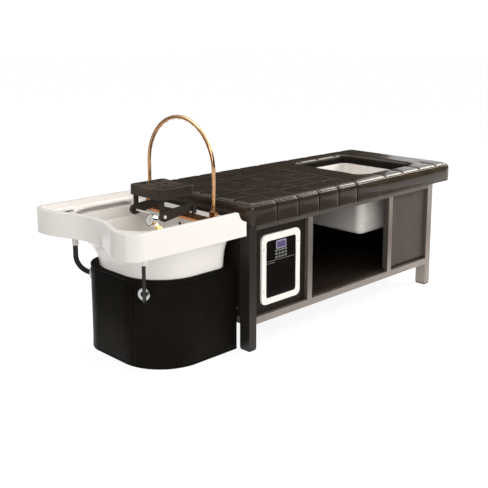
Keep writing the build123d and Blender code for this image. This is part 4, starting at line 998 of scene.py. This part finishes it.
def turned(points, faces, centre, axis, profile, steps=20):
    """A turned shape: its profile is a list of radii and heights, from its foot to its top."""
    axis = axis.normalized()
    across = axis.orthogonal().normalized()
    up = axis.cross(across)
    angles = [2 * math.pi * n / steps for n in range(steps)]
    loops = []
    for radius, lift in profile:
        ring = [(radius * math.cos(a), radius * math.sin(a)) for a in angles]
        loops.append([(centre + across * x + up * y + axis * lift) * mm for x, y in ring])
    add_loops(points, faces, loops, True)


def make_piece(name, body, material, build):
    """One piece of many small shapes that ride a body."""
    points, faces = [], []
    build(points, faces)
    piece = link_mesh(name, points, faces, material)
    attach(piece, body)
    return piece


# Radii and heights, from foot to top
screw_profile = [(3.4, 0), (3.4, 0.5), (2.9, 1.2), (2.0, 1.6), (1.5, 1.6), (1.3, 0.7), (0.3, 0.7)]
ring_profile = [(15, -1), (15, 0.8), (13.6, 1.9), (11.2, 1.9), (10.4, 1.2), (9.6, -0.6), (0.5, -0.6)]
mouth_profile = [(9.4, -0.8), (9.4, 0.3), (8.8, 0.6), (0.5, 0.45)]
nozzle_profile = [(1.1, -0.3), (1.1, 0.4), (0.8, 0.9), (0.2, 0.9)]
near_across, near_up = Vector((1, 0, 0)), Vector((0, 0, 1))
near_out = Vector((0, -1, 0))


def box_mm(node):
    """A CAD node's corners in millimetres."""
    low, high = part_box(node)
    return Vector(low) / mm, Vector(high) / mm


# Control face: screws of the surround, the display's rim and the printed lines

def bezel_screws(points, faces):
    """Two screws in each upright of the surround."""
    low, high = box_mm("control_bezel")
    glass_low, glass_high = box_mm("control_glass")
    from_end = 58.0
    for x in ((low.x + glass_low.x) / 2, (high.x + glass_high.x) / 2):
        for z in (low.z + from_end, high.z - from_end):
            turned(points, faces, Vector((x, low.y, z)), near_out, screw_profile)


def display_rim(points, faces):
    """A frame that overlaps the display's edge."""
    low, high = box_mm("control_display")
    margin = 5.0
    centre = Vector(((low.x + high.x) / 2, high.y, (low.z + high.z) / 2))
    size = (high.x - low.x + margin, high.z - low.z + margin)
    raised_ring(points, faces, centre, near_across, near_up, size, band=4.0, depth=2.3, radius=3.0)


def face_lines(points, faces):
    """A line across the glass below the keys, and a shorter one under it."""
    low, high = box_mm("control_glass")
    middle, width = (low.x + high.x) / 2, high.x - low.x
    for x, below_top, length in ((middle, 89, width - 14), (low.x + 31, 98, 46)):
        place = Vector((x, low.y, high.z - below_top))
        raised_plate(points, faces, place, near_across, near_up, (length, 1.3), depth=0.5, radius=0.6)


make_piece("bezel_screws", "bed", steel, bezel_screws)
make_piece("display_rim", "bed", screen_rim, display_rim)
make_piece("face_lines", "bed", line_print, face_lines)


# Screws of the back and end panels

def panel_screws(points, faces):
    """A row of screws along the top and the bottom of every panel."""
    low, high = box_mm("back_panels")
    posts_low, posts_high = box_mm("posts_far")
    tube, pitch, inset = 30.0, 260.0, 16.0
    bays = [(low.x, posts_low.x), (posts_low.x + tube, posts_high.x - tube), (posts_high.x, high.x)]
    for start, end in bays:
        gaps = max(1, round((end - start) / pitch))
        for n in range(gaps + 1):
            x = start + inset + (end - start - 2 * inset) * n / gaps
            for z in (low.z + inset, high.z - inset):
                turned(points, faces, Vector((x, high.y, z)), -near_out, screw_profile)
    low, high = box_mm("end_panels")
    end_inset, above_rail = 18.0, 30.0
    for x, out in ((low.x, -1), (high.x, 1)):
        for y in (low.y + end_inset, 0, high.y - end_inset):
            for z in (low.z + above_rail, high.z - end_inset):
                turned(points, faces, Vector((x, y, z)), Vector((out, 0, 0)), screw_profile)


make_piece("panel_screws", "bed", steel, panel_screws)


# Basin: the bead where it sits on the drum, and the overflow

basin_surface = surface_tree(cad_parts["basin"].data)
overflow_place, overflow_out, _, _ = basin_surface.ray_cast(Vector((-0.6, 0.039, 0.486)), Vector((1, 0, 0)))


def tube_along(points, faces, path, normals, radius, sides=8):
    """A closed tube along a closed path."""
    angles = [2 * math.pi * n / sides for n in range(sides)]
    loops = []
    for n, (place, out) in enumerate(zip(path, normals)):
        along = (path[(n + 1) % len(path)] - path[n - 1]).normalized()
        up = along.cross(out).normalized()
        loops.append([place + (out * math.cos(a) + up * math.sin(a)) * radius for a in angles])
    add_loops(points, faces, loops, False)


def basin_bead(points, faces):
    """A bead of silicone round the basin, just above the drum's lid."""
    low, high = box_mm("drum_shell")
    rays, start, above_lid, radius = 180, 0.5, 1.5, 2.6
    middle = Vector(((low.x + high.x) / 2, 0, high.z + above_lid)) * mm
    path, normals = [], []
    for n in range(rays):
        angle = 2 * math.pi * n / rays
        way = Vector((math.cos(angle), math.sin(angle), 0))
        hit = basin_surface.ray_cast(middle + way * start, -way)[0]
        if hit:
            path.append(hit)
            normals.append(way)
    tube_along(points, faces, path, normals, radius * mm)


def overflow_ring(points, faces):
    """The plated ring of the overflow."""
    turned(points, faces, overflow_place / mm, overflow_out, ring_profile, steps=36)


def overflow_mouth(points, faces):
    """The hole in the ring: a black disc, painted shade for the dark inside of the hole."""
    turned(points, faces, overflow_place / mm, overflow_out, mouth_profile, steps=36)


make_piece("basin_bead", "bed", silicone, basin_bead)
make_piece("overflow_ring", "bed", chrome, overflow_ring)
# the black disc in the overflow's ring is painted shade for its hole
make_piece("overflow_mouth", "bed", black_rubber, overflow_mouth)


# Shower: rubber nozzles on its face

def node_points(node):
    """A CAD node's points, as an array."""
    return np.array([v.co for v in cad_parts[node].data.vertices])


def shower_nozzles(points, faces):
    """Circles of nozzles on the face, whose axis is the direction in which its points spread least."""
    spots = node_points("shower_face")
    centre = Vector(spots.mean(0))
    axis = Vector(np.linalg.svd(spots - spots.mean(0))[2][2]).normalized()
    if axis.dot(centre - Vector(node_points("shower_head").mean(0))) < 0:
        axis = -axis
    reach = max((Vector(p) - centre).dot(axis) for p in spots)
    face = (centre + axis * reach) / mm
    across = axis.orthogonal().normalized()
    up = axis.cross(across)
    for radius, count in ((0.0, 1), (4.6, 6), (9.2, 12), (13.8, 18)):
        for n in range(count):
            angle = 2 * math.pi * n / count
            spot = face + (across * math.cos(angle) + up * math.sin(angle)) * radius
            turned(points, faces, spot, axis, nozzle_profile, steps=8)


make_piece("shower_nozzles", "shower", black_rubber, shower_nozzles)
